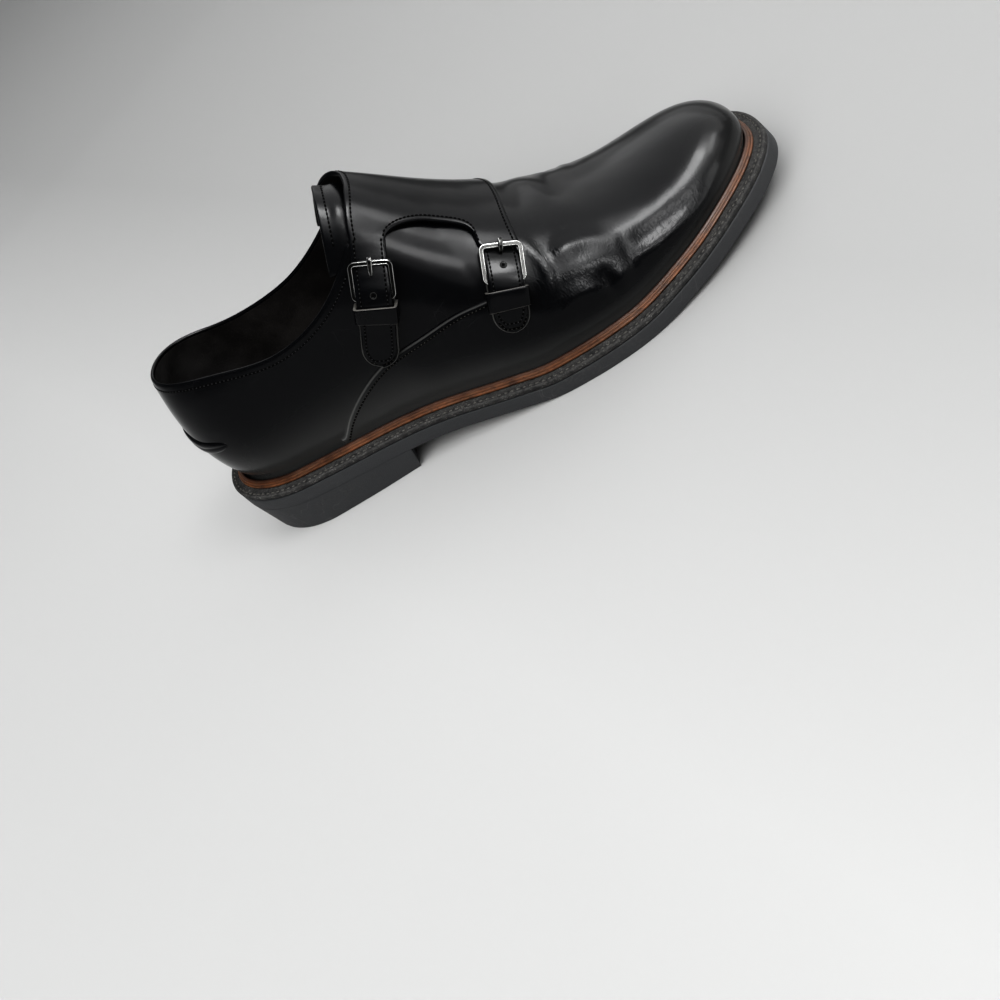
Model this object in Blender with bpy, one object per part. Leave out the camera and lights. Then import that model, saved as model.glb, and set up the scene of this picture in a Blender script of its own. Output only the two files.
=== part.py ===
"""Double buckle strap shoe, the right one of a pair, as separate closed solids.

The shoe is worked out in millimetres in its own frame: x runs from the back of the
heel to the toe, y from the lateral side (minus) to the medial side (plus), z up from
the floor.  place() turns these into metres with the origin under the middle of the shoe.

The upper, the tongue, the flap and the leather tabs are all cut from one function,
skin(u, v, depth): u runs along the shoe, turning round the heel and the toe, and v runs
over it, from the lateral feather line (0) over the ridge (1) to the medial one (2).
"""
import bmesh
import bpy
import numpy as np

# ---------------------------------------------------------------- driving sizes, millimetres
LENGTH = 305.0          # outsole, back of the heel to the toe tip
MIDDLE = 0.1            # y of the middle of the sole's width
GAP = 0.3               # left between two pieces that meet
OUTSOLE = 8.0           # outsole thickness under the welt
WELT = 3.0              # welt thickness
WELT_WIDTH = 8.8        # from the sole's top edge to the feather line of the upper
RAND_HEIGHT = 3.7       # feather line above the welt
RAND_WIDTH = 3.6
BREAST = 90.0           # front of the heel, from its back
BREAST_SLANT = 3.0
HEEL_TAPER = 2.0
WALL = 3.0              # vamp, outer face to lining
LAP = 1.0               # the vamp stands proud of the quarters by this
INSOLE = 3.0
TONGUE = 1.8
FLAP = 2.1
STRAP = 1.8
STRAP_HALF = 6.9
CHAPE = 1.6
CHAPE_HALF = 7.6
KEEPER = 1.4
KEEPER_LENGTH = 7.2
BUCKLE_WIDTH = 18.7     # over the wire
BUCKLE_HEIGHT = 17.0
WIRE = 0.95             # radius of the buckle's wire
PRONG = 0.8             # radius of the prong


def table(columns, *rows):
    """A dict of named columns."""
    return dict(zip(columns.split(), np.array(rows, float).T))


# half widths of the sole's lower edge and its middle line
SOLE = table("x lateral medial centre",
             (0, 34.3, 35.6, -0.3),
             (30.5, 35.7, 36.8, 0.4),
             (67, 37.2, 36.9, -0.9),
             (104, 37.1, 37.6, -3.4),
             (140, 42.3, 42.1, -5.7),
             (177, 51.4, 51.5, -3.5),
             (207, 54.7, 56.3, -0.7),
             (238, 50.5, 52.9, 2.0),
             (268, 43.5, 47.9, 4.8),
             (305, 36.3, 42.6, 6.3))
HEEL_ROUND = (40.6, 2.1)    # length and fullness of the rounded ends
TOE_ROUND = (60.0, 2.3)
# height of the outsole's underside: heel seat, arch, flat tread, toe spring
UNDERSIDE = table("x z",
                  (0, 22.3), (37, 18.4), (75, 14.6), (110, 9.9), (146, 3.4),
                  (168, 0.0), (208, 0.0), (238, 2.9), (271, 8.0), (305, 12.3))
# sections of the last: ridge line, height of its top, fullness of either side and of
# the crown (less is fuller), and how far either side bulges over the feather line
LAST = table("x ridge top lateral medial crown bulge_lateral bulge_medial",
             (10, 0.0, 135.0, 0.97, 0.97, 0.92, 5.4, 5.4),
             (40, 0.1, 143.0, 1.03, 1.02, 0.99, 5.2, 4.4),
             (70, 0.6, 147.2, 0.99, 1.00, 0.99, 3.5, 4.3),
             (100, 1.7, 143.5, 0.94, 0.96, 0.98, 2.4, 6.1),
             (135, 4.3, 121.8, 0.87, 0.91, 0.95, 2.3, 8.1),
             (160, 6.1, 96.1, 0.89, 0.88, 0.94, 2.4, 9.0),
             (186, 7.3, 72.4, 0.87, 0.89, 0.95, 2.8, 5.8),
             (210, 6.8, 58.2, 0.83, 0.90, 0.94, 1.7, 1.7),
             (235, 5.7, 49.3, 0.87, 0.88, 0.92, 0.8, 2.0),
             (262, 5.4, 50.5, 0.88, 0.89, 0.89, 1.6, 2.2),
             (285, 5.6, 57.0, 0.93, 0.93, 0.89, 1.6, 1.7),
             (305, 5.9, 59.2, 0.98, 0.98, 0.91, 1.6, 1.6))
# height of the collar's edge on either side
COLLAR = table("x lateral medial",
               (6, 103.2, 103.2), (12, 102.3, 102.3), (40, 96.8, 91.5), (70, 87.0, 86.3), (86, 86.6, 87.2),
               (100, 89.8, 91.2), (115, 97.0, 98.6), (130, 106.8, 108.6))
# where the vamp's edge crosses the side, from the sole up to the straps
SEAM = table("u lateral medial", (66, 0.0, 0.0), (77, 0.063, 0.07), (92, 0.12, 0.14), (105, 0.157, 0.19),
             (128, 0.208, 0.255), (149, 0.28, 0.31), (162, 0.327, 0.37), (176, 0.40, 0.42),
             (205, 0.40, 0.40))
# the flap's rear and front edges
FLAP_REAR = table("v u", (0.60, 130.3), (0.80, 136.5), (1.0, 138.6), (1.15, 134.5), (1.43, 121.0))
FLAP_FRONT = table("v u", (0.60, 184.8), (0.77, 186.2), (1.0, 187.5), (1.35, 179.5), (1.59, 171.5))
STRAP_V = 0.60              # the flap ends here and the straps go on
CUT_V = 0.724               # top of the cut-out between the straps
CUT = (141.0, 171.2)        # its two ends along the shoe
CUT_REAR, CUT_FRONT = 1.6, 4.0      # how full its two corners are
# middle line of either strap, from the flap to the tip
STRAPS = {"rear": table("v u", (0.60, 135.7), (0.51, 131.6), (0.37, 123.8), (0.295, 118.3),
                        (0.235, 112.9), (0.165, 106.6)),
          "front": table("v u", (0.60, 177.9), (0.51, 175.2), (0.41, 172.0), (0.296, 167.9),
                         (0.24, 165.8), (0.185, 163.4))}
# along a strap, from where it leaves the flap: how high its lower face stands
STRAP_RISE = {"rear": table("s depth", (0, 0.3), (4, 0.6), (9, 1.2), (15, 2.8), (22, 4.75), (25, 4.85),
                            (34, 3.0), (40, 2.25), (60, 2.25)),
              "front": table("s depth", (0, 0.3), (3, 1.0), (8, 2.8), (15, 4.75), (18, 4.85),
                             (27, 3.0), (33, 2.25), (60, 2.25))}
TOP_BAR = {"rear": 8.5, "front": 1.5}       # along the strap
BAR_TO_BAR = 15.1
BAR_TO_CHAPE = 6.5
BAR_TO_KEEPER = 17.7
# the prong from the strap's hole over the top bar: distance below the bar and height
PRONGS = {"rear": ((6.2, 5.6), (3.2, 6.1), (0.6, 6.8), (-1.2, 6.7)),
          "front": ((3.6, 4.9), (2.0, 6.0), (0.6, 6.8), (-1.2, 6.7))}
STRAP_TIP = 3.5             # the strap ends this far short of the chape's tip

HEEL_AXIS, TOE_AXIS = 42.0, 214.0   # the sections fan out round these
HEEL_TURN, TOE_TURN = 30.0, 46.0    # millimetres of u for one radian of the fan
U_HEEL = HEEL_AXIS - HEEL_TURN * np.pi / 2
U_TOE = TOE_AXIS + TOE_TURN * np.pi / 2
THROAT = 150.0              # the upper closes over the instep from here on
SIDE_POINTS = 51            # points along one side of the sole


# ---------------------------------------------------------------- curves
def spline(data, column, key="x"):
    """A natural cubic through a table's column, straight beyond its ends."""
    xs, ys = data[key], data[column]
    if xs[0] > xs[-1]:
        xs, ys = xs[::-1], ys[::-1]
    step = np.diff(xs)
    slope = np.diff(ys) / step
    system = np.eye(len(xs))
    right = np.zeros(len(xs))
    for i in range(1, len(xs) - 1):
        system[i, i - 1:i + 2] = step[i - 1], 2 * (step[i - 1] + step[i]), step[i]
        right[i] = 6 * (slope[i] - slope[i - 1])
    bend = np.linalg.solve(system, right)

    def value(x):
        x = np.asarray(x, float)
        i = np.clip(np.searchsorted(xs, x) - 1, 0, len(xs) - 2)
        t, h = np.clip(x, xs[0], xs[-1]) - xs[i], step[i]
        inside = (ys[i] + t * (slope[i] - h * (2 * bend[i] + bend[i + 1]) / 6)
                  + t ** 2 * bend[i] / 2 + t ** 3 * (bend[i + 1] - bend[i]) / (6 * h))
        first = slope[0] - step[0] * bend[1] / 6
        last = slope[-1] + step[-1] * bend[-2] / 6
        return inside + np.minimum(x - xs[0], 0) * first + np.maximum(x - xs[-1], 0) * last
    return value


def steady(data, column, key="x"):
    """A cubic through a table's column that never overshoots, so flats stay flat."""
    xs, ys = data[key], data[column]
    step = np.diff(xs)
    slope = np.diff(ys) / step
    grade = np.zeros(len(xs))
    for i in range(1, len(xs) - 1):
        if slope[i - 1] * slope[i] > 0:
            a, b = 2 * step[i] + step[i - 1], step[i] + 2 * step[i - 1]
            grade[i] = (a + b) / (a / slope[i - 1] + b / slope[i])
    grade[0], grade[-1] = slope[0], slope[-1]

    def value(x):
        x = np.clip(np.asarray(x, float), xs[0], xs[-1])
        i = np.clip(np.searchsorted(xs, x) - 1, 0, len(xs) - 2)
        h = step[i]
        t = (x - xs[i]) / h
        return ((1 + 2 * t) * (1 - t) ** 2 * ys[i] + t * (1 - t) ** 2 * h * grade[i]
                + t ** 2 * (3 - 2 * t) * ys[i + 1] + t ** 2 * (t - 1) * h * grade[i + 1])
    return value


half_lateral, half_medial, middle_line = (spline(SOLE, c) for c in ("lateral", "medial", "centre"))
underside = steady(UNDERSIDE, "z")
ridge, top, full_lateral, full_medial, crown, bulge_lateral, bulge_medial = (
    spline(LAST, c) for c in ("ridge", "top", "lateral", "medial", "crown",
                              "bulge_lateral", "bulge_medial"))
collar = {-1: spline(COLLAR, "lateral"), 1: spline(COLLAR, "medial")}
seam_v = {-1: steady(SEAM, "lateral", "u"), 1: steady(SEAM, "medial", "u")}
flap_rear, flap_front = spline(FLAP_REAR, "u", "v"), spline(FLAP_FRONT, "u", "v")
strap_rise = {name: steady(rise, "depth", "s") for name, rise in STRAP_RISE.items()}


# ---------------------------------------------------------------- the sole's outline
def sole_edge(x, side):
    """The sole's lower edge on one side."""
    def rounded(distance, length, fullness):
        q = np.clip(1 - distance / length, 0, 1)
        return (1 - q ** fullness) ** (1 / fullness)
    ends = rounded(x, *HEEL_ROUND) * rounded(LENGTH - x, *TOE_ROUND)
    half = half_lateral(x) if side < 0 else half_medial(x)
    return np.stack([x, middle_line(x) + side * half * ends], -1)


def sole_loop(points=SIDE_POINTS, end=LENGTH):
    """Lateral side from the heel forward, then the medial side back again."""
    x = end * (1 - np.cos(np.pi * np.linspace(0, 1, points))) / 2
    if end < LENGTH:
        x = end * (1 - np.cos(np.pi / 2 * np.linspace(0, 1, points)))
        return np.concatenate([sole_edge(x, -1), sole_edge(x[:0:-1], 1)])
    return np.concatenate([sole_edge(x, -1), sole_edge(x[-2:0:-1], 1)])


def inset(loop, width):
    """A closed loop moved inward."""
    along = np.roll(loop, -1, 0) - np.roll(loop, 1, 0)
    along /= np.linalg.norm(along, axis=1)[:, None]
    return loop + np.stack([-along[:, 1], along[:, 0]], 1) * np.reshape(width, (-1, 1))


def flare(x):
    """How far the sole's lower edge stands out past its top edge, round the toe."""
    return 3.0 * np.clip((x - 235) / 70, 0, 1) ** 2


def top_loop(points=SIDE_POINTS, share=1.0):
    loop = sole_loop(points)
    return inset(loop, share * flare(loop[:, 0]))


def feather_loop(points=SIDE_POINTS, inward=0.0):
    return inset(inset(top_loop(points), WELT_WIDTH), inward)


def level(loop, height):
    """A flat loop lifted to a height over the outsole's underside."""
    return np.column_stack([loop, underside(loop[:, 0]) + height])


WELT_TOP = OUTSOLE + WELT
FEATHER = WELT_TOP + RAND_HEIGHT
FOOT = RAND_HEIGHT - 0.4      # the upper's foot reaches down behind the rand


# ---------------------------------------------------------------- the last
def axis_point(u):
    x = np.clip(u, HEEL_AXIS, TOE_AXIS)
    return np.stack([x, ridge(x)], -1)


def section_way(u, side):
    """Outward direction of a section, in plan."""
    turn = np.maximum((HEEL_AXIS - u) / HEEL_TURN, 0) - np.maximum((u - TOE_AXIS) / TOE_TURN, 0)
    return np.stack([-np.sin(turn), side * np.cos(turn)], -1)


def reach_table(side, count=321):
    """Distance from the axis to the feather line, section by section."""
    u = np.linspace(U_HEEL, U_TOE, count)
    loop = feather_loop(240)
    start = axis_point(u)[:, None]
    way = section_way(u, side)[:, None]
    chord = np.roll(loop, -1, 0) - loop
    gap = loop - start
    cross = way[..., 1] * chord[:, 0] - way[..., 0] * chord[:, 1]
    far = (gap[..., 1] * chord[:, 0] - gap[..., 0] * chord[:, 1]) / cross
    along = (way[..., 0] * gap[..., 1] - way[..., 1] * gap[..., 0]) / cross
    hit = (along >= -1e-6) & (along <= 1 + 1e-6) & (far > 0)
    return np.where(hit, far, 0).max(1)


REACH = {side: reach_table(side) for side in (-1, 1)}


def reach(u, side):
    """Smooth reading of the reach table."""
    data = REACH[side]
    place_in = (u - U_HEEL) / (U_TOE - U_HEEL) * (len(data) - 1)
    i = np.clip(place_in.astype(int), 0, len(data) - 2)
    t = place_in - i
    b, c = data[i], data[i + 1]
    a = np.where(i > 0, data[np.maximum(i - 1, 0)], c)
    d = np.where(i < len(data) - 2, data[np.minimum(i + 2, len(data) - 1)], b)
    return b + 0.5 * t * (c - a + t * (2 * a - 5 * b + 4 * c - d + t * (3 * (b - c) + d - a)))


def last(u, v):
    """Outer face of the vamp over the whole last."""
    u, v = np.broadcast_arrays(np.asarray(u, float), np.asarray(v, float))
    past = (u < U_HEEL) | (u > U_TOE)
    v = np.where(past, 2 - v, v)
    u = np.where(u < U_HEEL, 2 * U_HEEL - u, np.where(u > U_TOE, 2 * U_TOE - u, u))
    medial = v > 1
    rise = np.where(medial, 2 - v, v)
    axis = axis_point(u)
    way = np.where(medial[..., None], section_way(u, 1), section_way(u, -1))
    out = np.where(medial, reach(u, 1), reach(u, -1))
    x = axis[..., 0] + way[..., 0] * out * 0.6
    share = 0.5 * (1 + way[..., 1])
    angle = np.clip(rise, 0, 1) * np.pi / 2
    side = np.clip(np.cos(angle), 0, 1) ** (full_lateral(x) * (1 - share) + full_medial(x) * share)
    up = np.sin(angle) ** crown(x)
    bulge = bulge_lateral(x) * (1 - share) + bulge_medial(x) * share
    out_here = out * side + bulge * 6.75 * up * (1 - up) ** 2
    low = underside(axis[..., 0] + way[..., 0] * out) + FEATHER
    plan = axis + way * out_here[..., None]
    z = low + (top(plan[..., 0]) - low) * up + np.minimum(rise, 0) * FOOT
    return np.concatenate([plan, z[..., None]], -1)


def skin(u, v, depth=0.0):
    """A point of the last moved along its normal; plus is outward."""
    u, v = np.broadcast_arrays(np.asarray(u, float), np.asarray(v, float))
    pole = (u > TOE_AXIS) & (np.abs(v - 1) < 0.004)
    nu = np.where(pole, TOE_AXIS - 0.5, u)
    along = last(nu + 0.4, v) - last(nu - 0.4, v)
    over = last(nu, v + 0.004) - last(nu, v - 0.004)
    normal = np.cross(along, over)
    normal[..., 2] *= (v > 0) & (v < 2)     # the foot of the upper stands upright
    normal /= np.linalg.norm(normal, axis=-1, keepdims=True)
    return last(u, v) + normal * np.asarray(depth)[..., None]


# ---------------------------------------------------------------- building solids
def place(points):
    """Millimetres of the shoe's own frame to metres of the part."""
    return (np.asarray(points) - (LENGTH / 2, MIDDLE, 0)) * 0.001


def material(name, colour, roughness, metallic=0.0):
    mat = bpy.data.materials.new(name)
    mat.use_nodes = True
    shader = mat.node_tree.nodes["Principled BSDF"]
    shader.inputs["Base Color"].default_value = (*colour, 1)
    shader.inputs["Roughness"].default_value = roughness
    shader.inputs["Metallic"].default_value = metallic
    return mat


def solid(name, points, faces, mat, smooth=True):
    """A closed mesh with its faces turned out."""
    mesh = bpy.data.meshes.new(name)
    mesh.from_pydata(place(points).tolist(), [], faces)
    work = bmesh.new()
    work.from_mesh(mesh)
    bmesh.ops.recalc_face_normals(work, faces=work.faces)
    work.to_mesh(mesh)
    work.free()
    mesh.materials.append(mat)
    if smooth:
        mesh.shade_smooth()
        mesh.set_sharp_from_angle(angle=np.radians(40))
    thing = bpy.data.objects.new(name, mesh)
    bpy.context.scene.collection.objects.link(thing)
    return thing


def ladder(points, first, closed_end=True):
    """Faces across a loop that runs up one side and back down the other."""
    count = 2 * points - 2 if closed_end else 2 * points - 1
    faces = []
    for i in range(points - 1):
        rung = [i, i + 1, count - i - 1, (count - i) % count]
        faces.append([first + k for k in dict.fromkeys(rung)])
    return faces


def stack(name, loops, mat, closed_end=True):
    """A plate: loops from its underside to its top, both capped."""
    count = len(loops[0])
    points = count // 2 + 1
    faces = ladder(points, 0, closed_end) + ladder(points, count * (len(loops) - 1), closed_end)
    for k in range(len(loops) - 1):
        for i in range(count):
            j = (i + 1) % count
            faces.append([k * count + i, k * count + j, (k + 1) * count + j, (k + 1) * count + i])
    return solid(name, np.concatenate(loops), faces, mat)


def band(name, loops, mat):
    """A ring: its loops go once round its own section."""
    count, turns = len(loops[0]), len(loops)
    faces = []
    for k in range(turns):
        a, b = k * count, (k + 1) % turns * count
        for i in range(count):
            j = (i + 1) % count
            faces.append([a + i, a + j, b + j, b + i])
    return solid(name, np.concatenate(loops), faces, mat)


def shell(name, inner, outer, faces, mat):
    """A sheet given thickness: two faces and a wall round every open edge."""
    count = len(inner)
    edges = {}
    for face in faces:
        for a, b in zip(face, face[1:] + face[:1]):
            if (b, a) in edges:
                del edges[(b, a)]
            else:
                edges[(a, b)] = True
    sides = [[a, b, b + count, a + count] for a, b in edges]
    back = [[k + count for k in face] for face in faces]
    return solid(name, np.concatenate([inner, outer]), faces + back + sides, mat)


def grid(rows, columns):
    """Faces of a grid whose points are listed row by row."""
    faces = []
    for r in range(rows - 1):
        for c in range(columns - 1):
            k = r * columns + c
            faces.append([k, k + 1, k + columns + 1, k + columns])
    return faces


def tube(name, path, radius, mat, closed=False, sides=8):
    """A round wire along a path."""
    path = np.asarray(path, float)
    count = len(path)
    if closed:
        along = np.roll(path, -1, 0) - np.roll(path, 1, 0)
    else:
        along = np.gradient(path, axis=0)
    along /= np.linalg.norm(along, axis=1)[:, None]
    centred = path - path.mean(0)
    plane = np.linalg.svd(centred)[2][2]
    out = np.cross(along, plane)
    out /= np.linalg.norm(out, axis=1)[:, None]
    turn = np.linspace(0, 2 * np.pi, sides, endpoint=False)[None, :, None]
    points = (path[:, None] + radius * (np.cos(turn) * out[:, None] + np.sin(turn) * plane)).reshape(-1, 3)
    faces = []
    for i in range(count if closed else count - 1):
        j = (i + 1) % count
        for k in range(sides):
            m = (k + 1) % sides
            faces.append([i * sides + k, i * sides + m, j * sides + m, j * sides + k])
    if not closed:
        faces.append(list(range(sides)))
        faces.append([(count - 1) * sides + k for k in range(sides)])
    return solid(name, points, faces, mat)


# ---------------------------------------------------------------- sole, heel, welt and rand
def build_bottom(rubber, welt_leather, rand_leather, sock):
    platform = feather_loop(inward=5.0 + GAP)
    stack("outsole", [level(sole_loop(), 0), level(top_loop(share=OUTSOLE / WELT_TOP), OUTSOLE),
                      level(platform, OUTSOLE), level(platform, WELT_TOP)], rubber)
    seat = sole_loop(15, BREAST)
    foot = seat + np.array([HEEL_TAPER, 0]) * (1 - seat[:, :1] / BREAST * (1 + BREAST_SLANT / HEEL_TAPER))
    foot[:, 1] -= np.sign(foot[:, 1]) * HEEL_TAPER * np.minimum(1, np.abs(foot[:, 1]) / 20)
    seat3 = np.column_stack([seat, underside(seat[:, 0]) - GAP])
    foot3 = np.column_stack([foot, np.zeros(len(foot))])
    stack("heel", [foot3, seat3], rubber, closed_end=False)
    rim = top_loop(share=OUTSOLE / WELT_TOP)
    band("welt", [level(rim, OUTSOLE + GAP), level(top_loop(), WELT_TOP),
                  level(feather_loop(inward=5.0), WELT_TOP),
                  level(feather_loop(inward=5.0), OUTSOLE + GAP)], welt_leather)
    profile = [(0.4, GAP), (RAND_WIDTH - 0.2, GAP), (RAND_WIDTH, 1.2), (3.1, 2.4), (2.0, 3.3),
               (0.9, 3.6), (0.4, 3.3)]
    band("rand", [level(feather_loop(inward=-out), WELT_TOP + up) for out, up in profile], rand_leather)
    liner = feather_loop(inward=WALL + 1.2)
    stack("insole", [level(liner, WELT_TOP + 0.4), level(liner, WELT_TOP + 0.4 + INSOLE)], sock)


# ---------------------------------------------------------------- the upper
def collar_v(u, side):
    """v at the collar's edge, as a rise from that side's feather line."""
    steps = np.linspace(0.15, 0.9, 151)
    limit = min(u, 128.0)
    line = last(limit, steps if side < 0 else 2 - steps)
    over = line[:, 2] - collar[side](line[:, 0])
    k = int(np.argmax(over > 0))
    rise = steps[k - 1] - over[k - 1] * (steps[k] - steps[k - 1]) / (over[k] - over[k - 1])
    if u <= limit:
        return rise
    return 1 - (1 - rise) * np.sqrt(max(0.0, 1 - ((u - limit) / (THROAT - limit)) ** 2))


def stations():
    """Places along the upper, closer where the throat turns."""
    heel = np.linspace(U_HEEL, HEEL_AXIS, 9)
    side = np.linspace(HEEL_AXIS, 128, 12)[1:]
    throat = 128 + (THROAT - 128) * np.sin(np.linspace(0, np.pi / 2, 7)[1:])
    vamp = np.linspace(THROAT, TOE_AXIS, 9)[1:]
    toe = np.linspace(TOE_AXIS, U_TOE, 14)[1:]
    return np.concatenate([heel, side, throat, vamp, toe])


def seam_rise(u, side):
    """The row of the mesh that follows the vamp's edge, and the step there."""
    line = float(seam_v[side](u)) if u >= SEAM["u"][0] else 0.10 * min(1.0, (SEAM["u"][0] - u) / 20)
    line = max(line, 0.012)
    step = LAP * float(np.clip((174 - u) / 12, 0, 1))
    return line, step


def ground(u, v):
    """Depth of the upper's outer face: the quarters lie lower than the vamp."""
    u, v = np.asarray(u, float), np.asarray(v, float)
    rise = np.minimum(v, 2 - v)
    from_u = np.maximum(u, SEAM["u"][0])
    line = np.where(v < 1, seam_v[-1](from_u), seam_v[1](from_u))
    past = np.clip((rise - line) / 0.03 - 0.2, 0, 1)
    return -LAP * np.clip((174 - u) / 12, 0, 1) * past


def build_upper(leather):
    below = np.linspace(0, 1, 6)
    above = np.linspace(0, 1, 9)[1:]
    index, uv, depth = {}, [], []

    def point(u, v, out):
        if u in (U_HEEL, U_TOE):
            v = min(v, 2 - v)
        if u > TOE_AXIS and abs(v - 1) < 1e-9:
            u = TOE_AXIS
        key = (round(u, 4), round(v, 5))
        if key not in index:
            index[key] = len(uv)
            uv.append((u, v))
            depth.append(out)
        return index[key]

    faces = []
    for side in (-1, 1):
        columns = []
        for u in stations():
            line, step = seam_rise(u, side)
            edge = collar_v(u, side if u > U_HEEL else -1) if u < THROAT else 1.0
            covered = u >= SEAM["u"][0]
            rises = [-1.0] + list(line * below)
            rises += list(line + 0.014 + (edge - line - 0.014) * np.concatenate([[0], above]))
            outs = [(0.0 if covered else -step)] * (len(below) + 1) + [-step] * (len(above) + 1)
            columns.append([point(u, r if side < 0 else 2 - r, o) for r, o in zip(rises, outs)])
        for one, two in zip(columns, columns[1:]):
            for k in range(len(one) - 1):
                face = [one[k], two[k], two[k + 1], one[k + 1]]
                face = list(dict.fromkeys(face if side < 0 else face[::-1]))
                if len(face) > 2:
                    faces.append(face)
    u, v = np.array(uv).T
    return shell("upper", skin(u, v, -WALL), skin(u, v, np.array(depth)), faces, leather)


# ---------------------------------------------------------------- tongue, flap and straps
def build_tongue(leather):
    across = np.linspace(0.46, 1.50, 15)
    rear = 130 - 17 * ((across - 1) / 0.55) ** 2
    rows = np.linspace(0, 1, 9)
    u = (rear + (196 - rear) * rows[:, None]).ravel()
    v = np.tile(across, len(rows))
    faces = grid(len(rows), len(across))
    shell("tongue", skin(u, v, -WALL - 0.6 - TONGUE), skin(u, v, -WALL - 0.6), faces, leather)


def strap_sections(strap, length_step, end_short):
    """Middle points of a strap every few millimetres, with the way across it."""
    v = np.linspace(strap["v"][0], strap["v"][-1], 200)
    u = spline(strap, "u", "v")(v)
    line = last(u, v)
    run = np.concatenate([[0], np.cumsum(np.linalg.norm(np.diff(line, axis=0), axis=1))])
    total = run[-1] - end_short
    s = np.linspace(0, total, int(round(total / length_step)) + 1)
    return s, np.interp(s, run, u), np.interp(s, run, v)


def beside(u, v, aim, distance):
    """The point of the skin a given distance across a strap that runs along aim."""
    for _ in range(4):
        du = (last(u + 0.5, v) - last(u - 0.5, v))
        dv = (last(u, v + 0.005) - last(u, v - 0.005)) / 0.01
        normal = np.cross(du, dv)
        across = np.cross(aim, normal)
        across /= np.linalg.norm(across, axis=-1, keepdims=True)
        move = across * (distance / 4)[..., None]
        gram = np.stack([(du * du).sum(-1), (du * dv).sum(-1), (dv * dv).sum(-1)])
        right = np.stack([(du * move).sum(-1), (dv * move).sum(-1)])
        det = gram[0] * gram[2] - gram[1] ** 2
        u = u + (right[0] * gram[2] - right[1] * gram[1]) / det
        v = v + (gram[0] * right[1] - gram[1] * right[0]) / det
    return u, v


def ribbon(u, v, aim, offset, height, flat=1.0):
    """Points beside a strap's middle line: on the skin, or flat across the strap."""
    on_skin = skin(*beside(u, v, aim, offset), height)
    normal = skin(u, v, 1.0) - skin(u, v, 0.0)
    across = np.cross(aim, normal)
    across /= np.linalg.norm(across, axis=-1, keepdims=True)
    in_plane = skin(u, v, height) + across * offset[..., None]
    flat = np.broadcast_to(flat, offset.shape)[..., None]
    return on_skin * (1 - flat) + in_plane * flat


def strap_grid(strap, half, tip, end_short=0.0, start=0.0, length_step=3.2, columns=5):
    """Rows along a strap: distance, middle u and v, direction and offsets to its edges."""
    s, u, v = strap_sections(strap, length_step, end_short)
    aim = np.gradient(last(u, v), axis=0)
    keep = s >= start
    s, u, v, aim = s[keep], u[keep], v[keep], aim[keep]
    left = s[-1] - s
    narrow = np.sqrt(np.maximum(0, 1 - np.maximum(0, 1 - left / tip) ** 2))
    offset = half * np.maximum(narrow, 0.22)[:, None] * np.linspace(-1, 1, columns)
    spread = [np.repeat(a[:, None], columns, 1) for a in (s, u, v)]
    return (*spread, np.repeat(aim[:, None], columns, 1), offset)


def cut_rise(u):
    """v along the edge of the cut-out between the straps."""
    b = 2 * (u - CUT[0]) / (CUT[1] - CUT[0]) - 1
    full = np.where(b < 0, CUT_REAR, CUT_FRONT)
    return STRAP_V + (CUT_V - STRAP_V) * np.clip(1 - np.abs(b) ** full, 0, 1) ** (1 / full)


def build_flap(leather):
    """The medial quarter's flap over the instep with its two straps, in one piece."""
    rear_share = (CUT[0] - flap_rear(STRAP_V)) / (flap_front(STRAP_V) - flap_rear(STRAP_V))
    front_share = (CUT[1] - flap_rear(STRAP_V)) / (flap_front(STRAP_V) - flap_rear(STRAP_V))
    strap_columns = 5
    arch = (1 - np.cos(np.linspace(0, np.pi, 13))) / 2
    shares = np.concatenate([np.linspace(0, rear_share, strap_columns),
                             rear_share + (front_share - rear_share) * arch[1:-1],
                             np.linspace(front_share, 1, strap_columns)])
    start_u = flap_rear(STRAP_V) + (flap_front(STRAP_V) - flap_rear(STRAP_V)) * shares
    start_v = np.where((start_u > CUT[0]) & (start_u < CUT[1]), cut_rise(start_u), STRAP_V)
    end_v = FLAP_REAR["v"][-1] + (FLAP_FRONT["v"][-1] - FLAP_REAR["v"][-1]) * shares
    rows = np.linspace(0, 1, 15)[:, None]
    v = start_v + (end_v - start_v) * rows
    u = flap_rear(v) + (flap_front(v) - flap_rear(v)) * shares
    columns = len(shares)
    faces = grid(len(rows), columns)
    inner, outer = [skin(u, v, GAP).reshape(-1, 3)], [skin(u, v, GAP + FLAP).reshape(-1, 3)]
    count = u.size
    for name, first in (("rear", 0), ("front", columns - strap_columns)):
        s, uu, vv, aim, offset = strap_grid(STRAPS[name], STRAP_HALF, 8.0, end_short=STRAP_TIP,
                                            columns=strap_columns)
        flat = np.clip(s / 7, 0, 1)
        low = ribbon(uu, vv, aim, offset, strap_rise[name](s), flat)[1:]
        high = ribbon(uu, vv, aim, offset, strap_rise[name](s) + STRAP, flat)[1:]
        if low[0, 0, 0] > low[0, -1, 0]:
            low, high = low[:, ::-1], high[:, ::-1]
        inner.append(low.reshape(-1, 3))
        outer.append(high.reshape(-1, 3))
        above = list(range(first, first + strap_columns))
        for r in range(len(low)):
            here = list(range(count + r * strap_columns, count + (r + 1) * strap_columns))
            for c in range(strap_columns - 1):
                faces.append([above[c + 1], above[c], here[c], here[c + 1]])
            above = here
        count += len(low) * strap_columns
    shell("flap", np.concatenate(inner), np.concatenate(outer), faces, leather)


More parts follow.
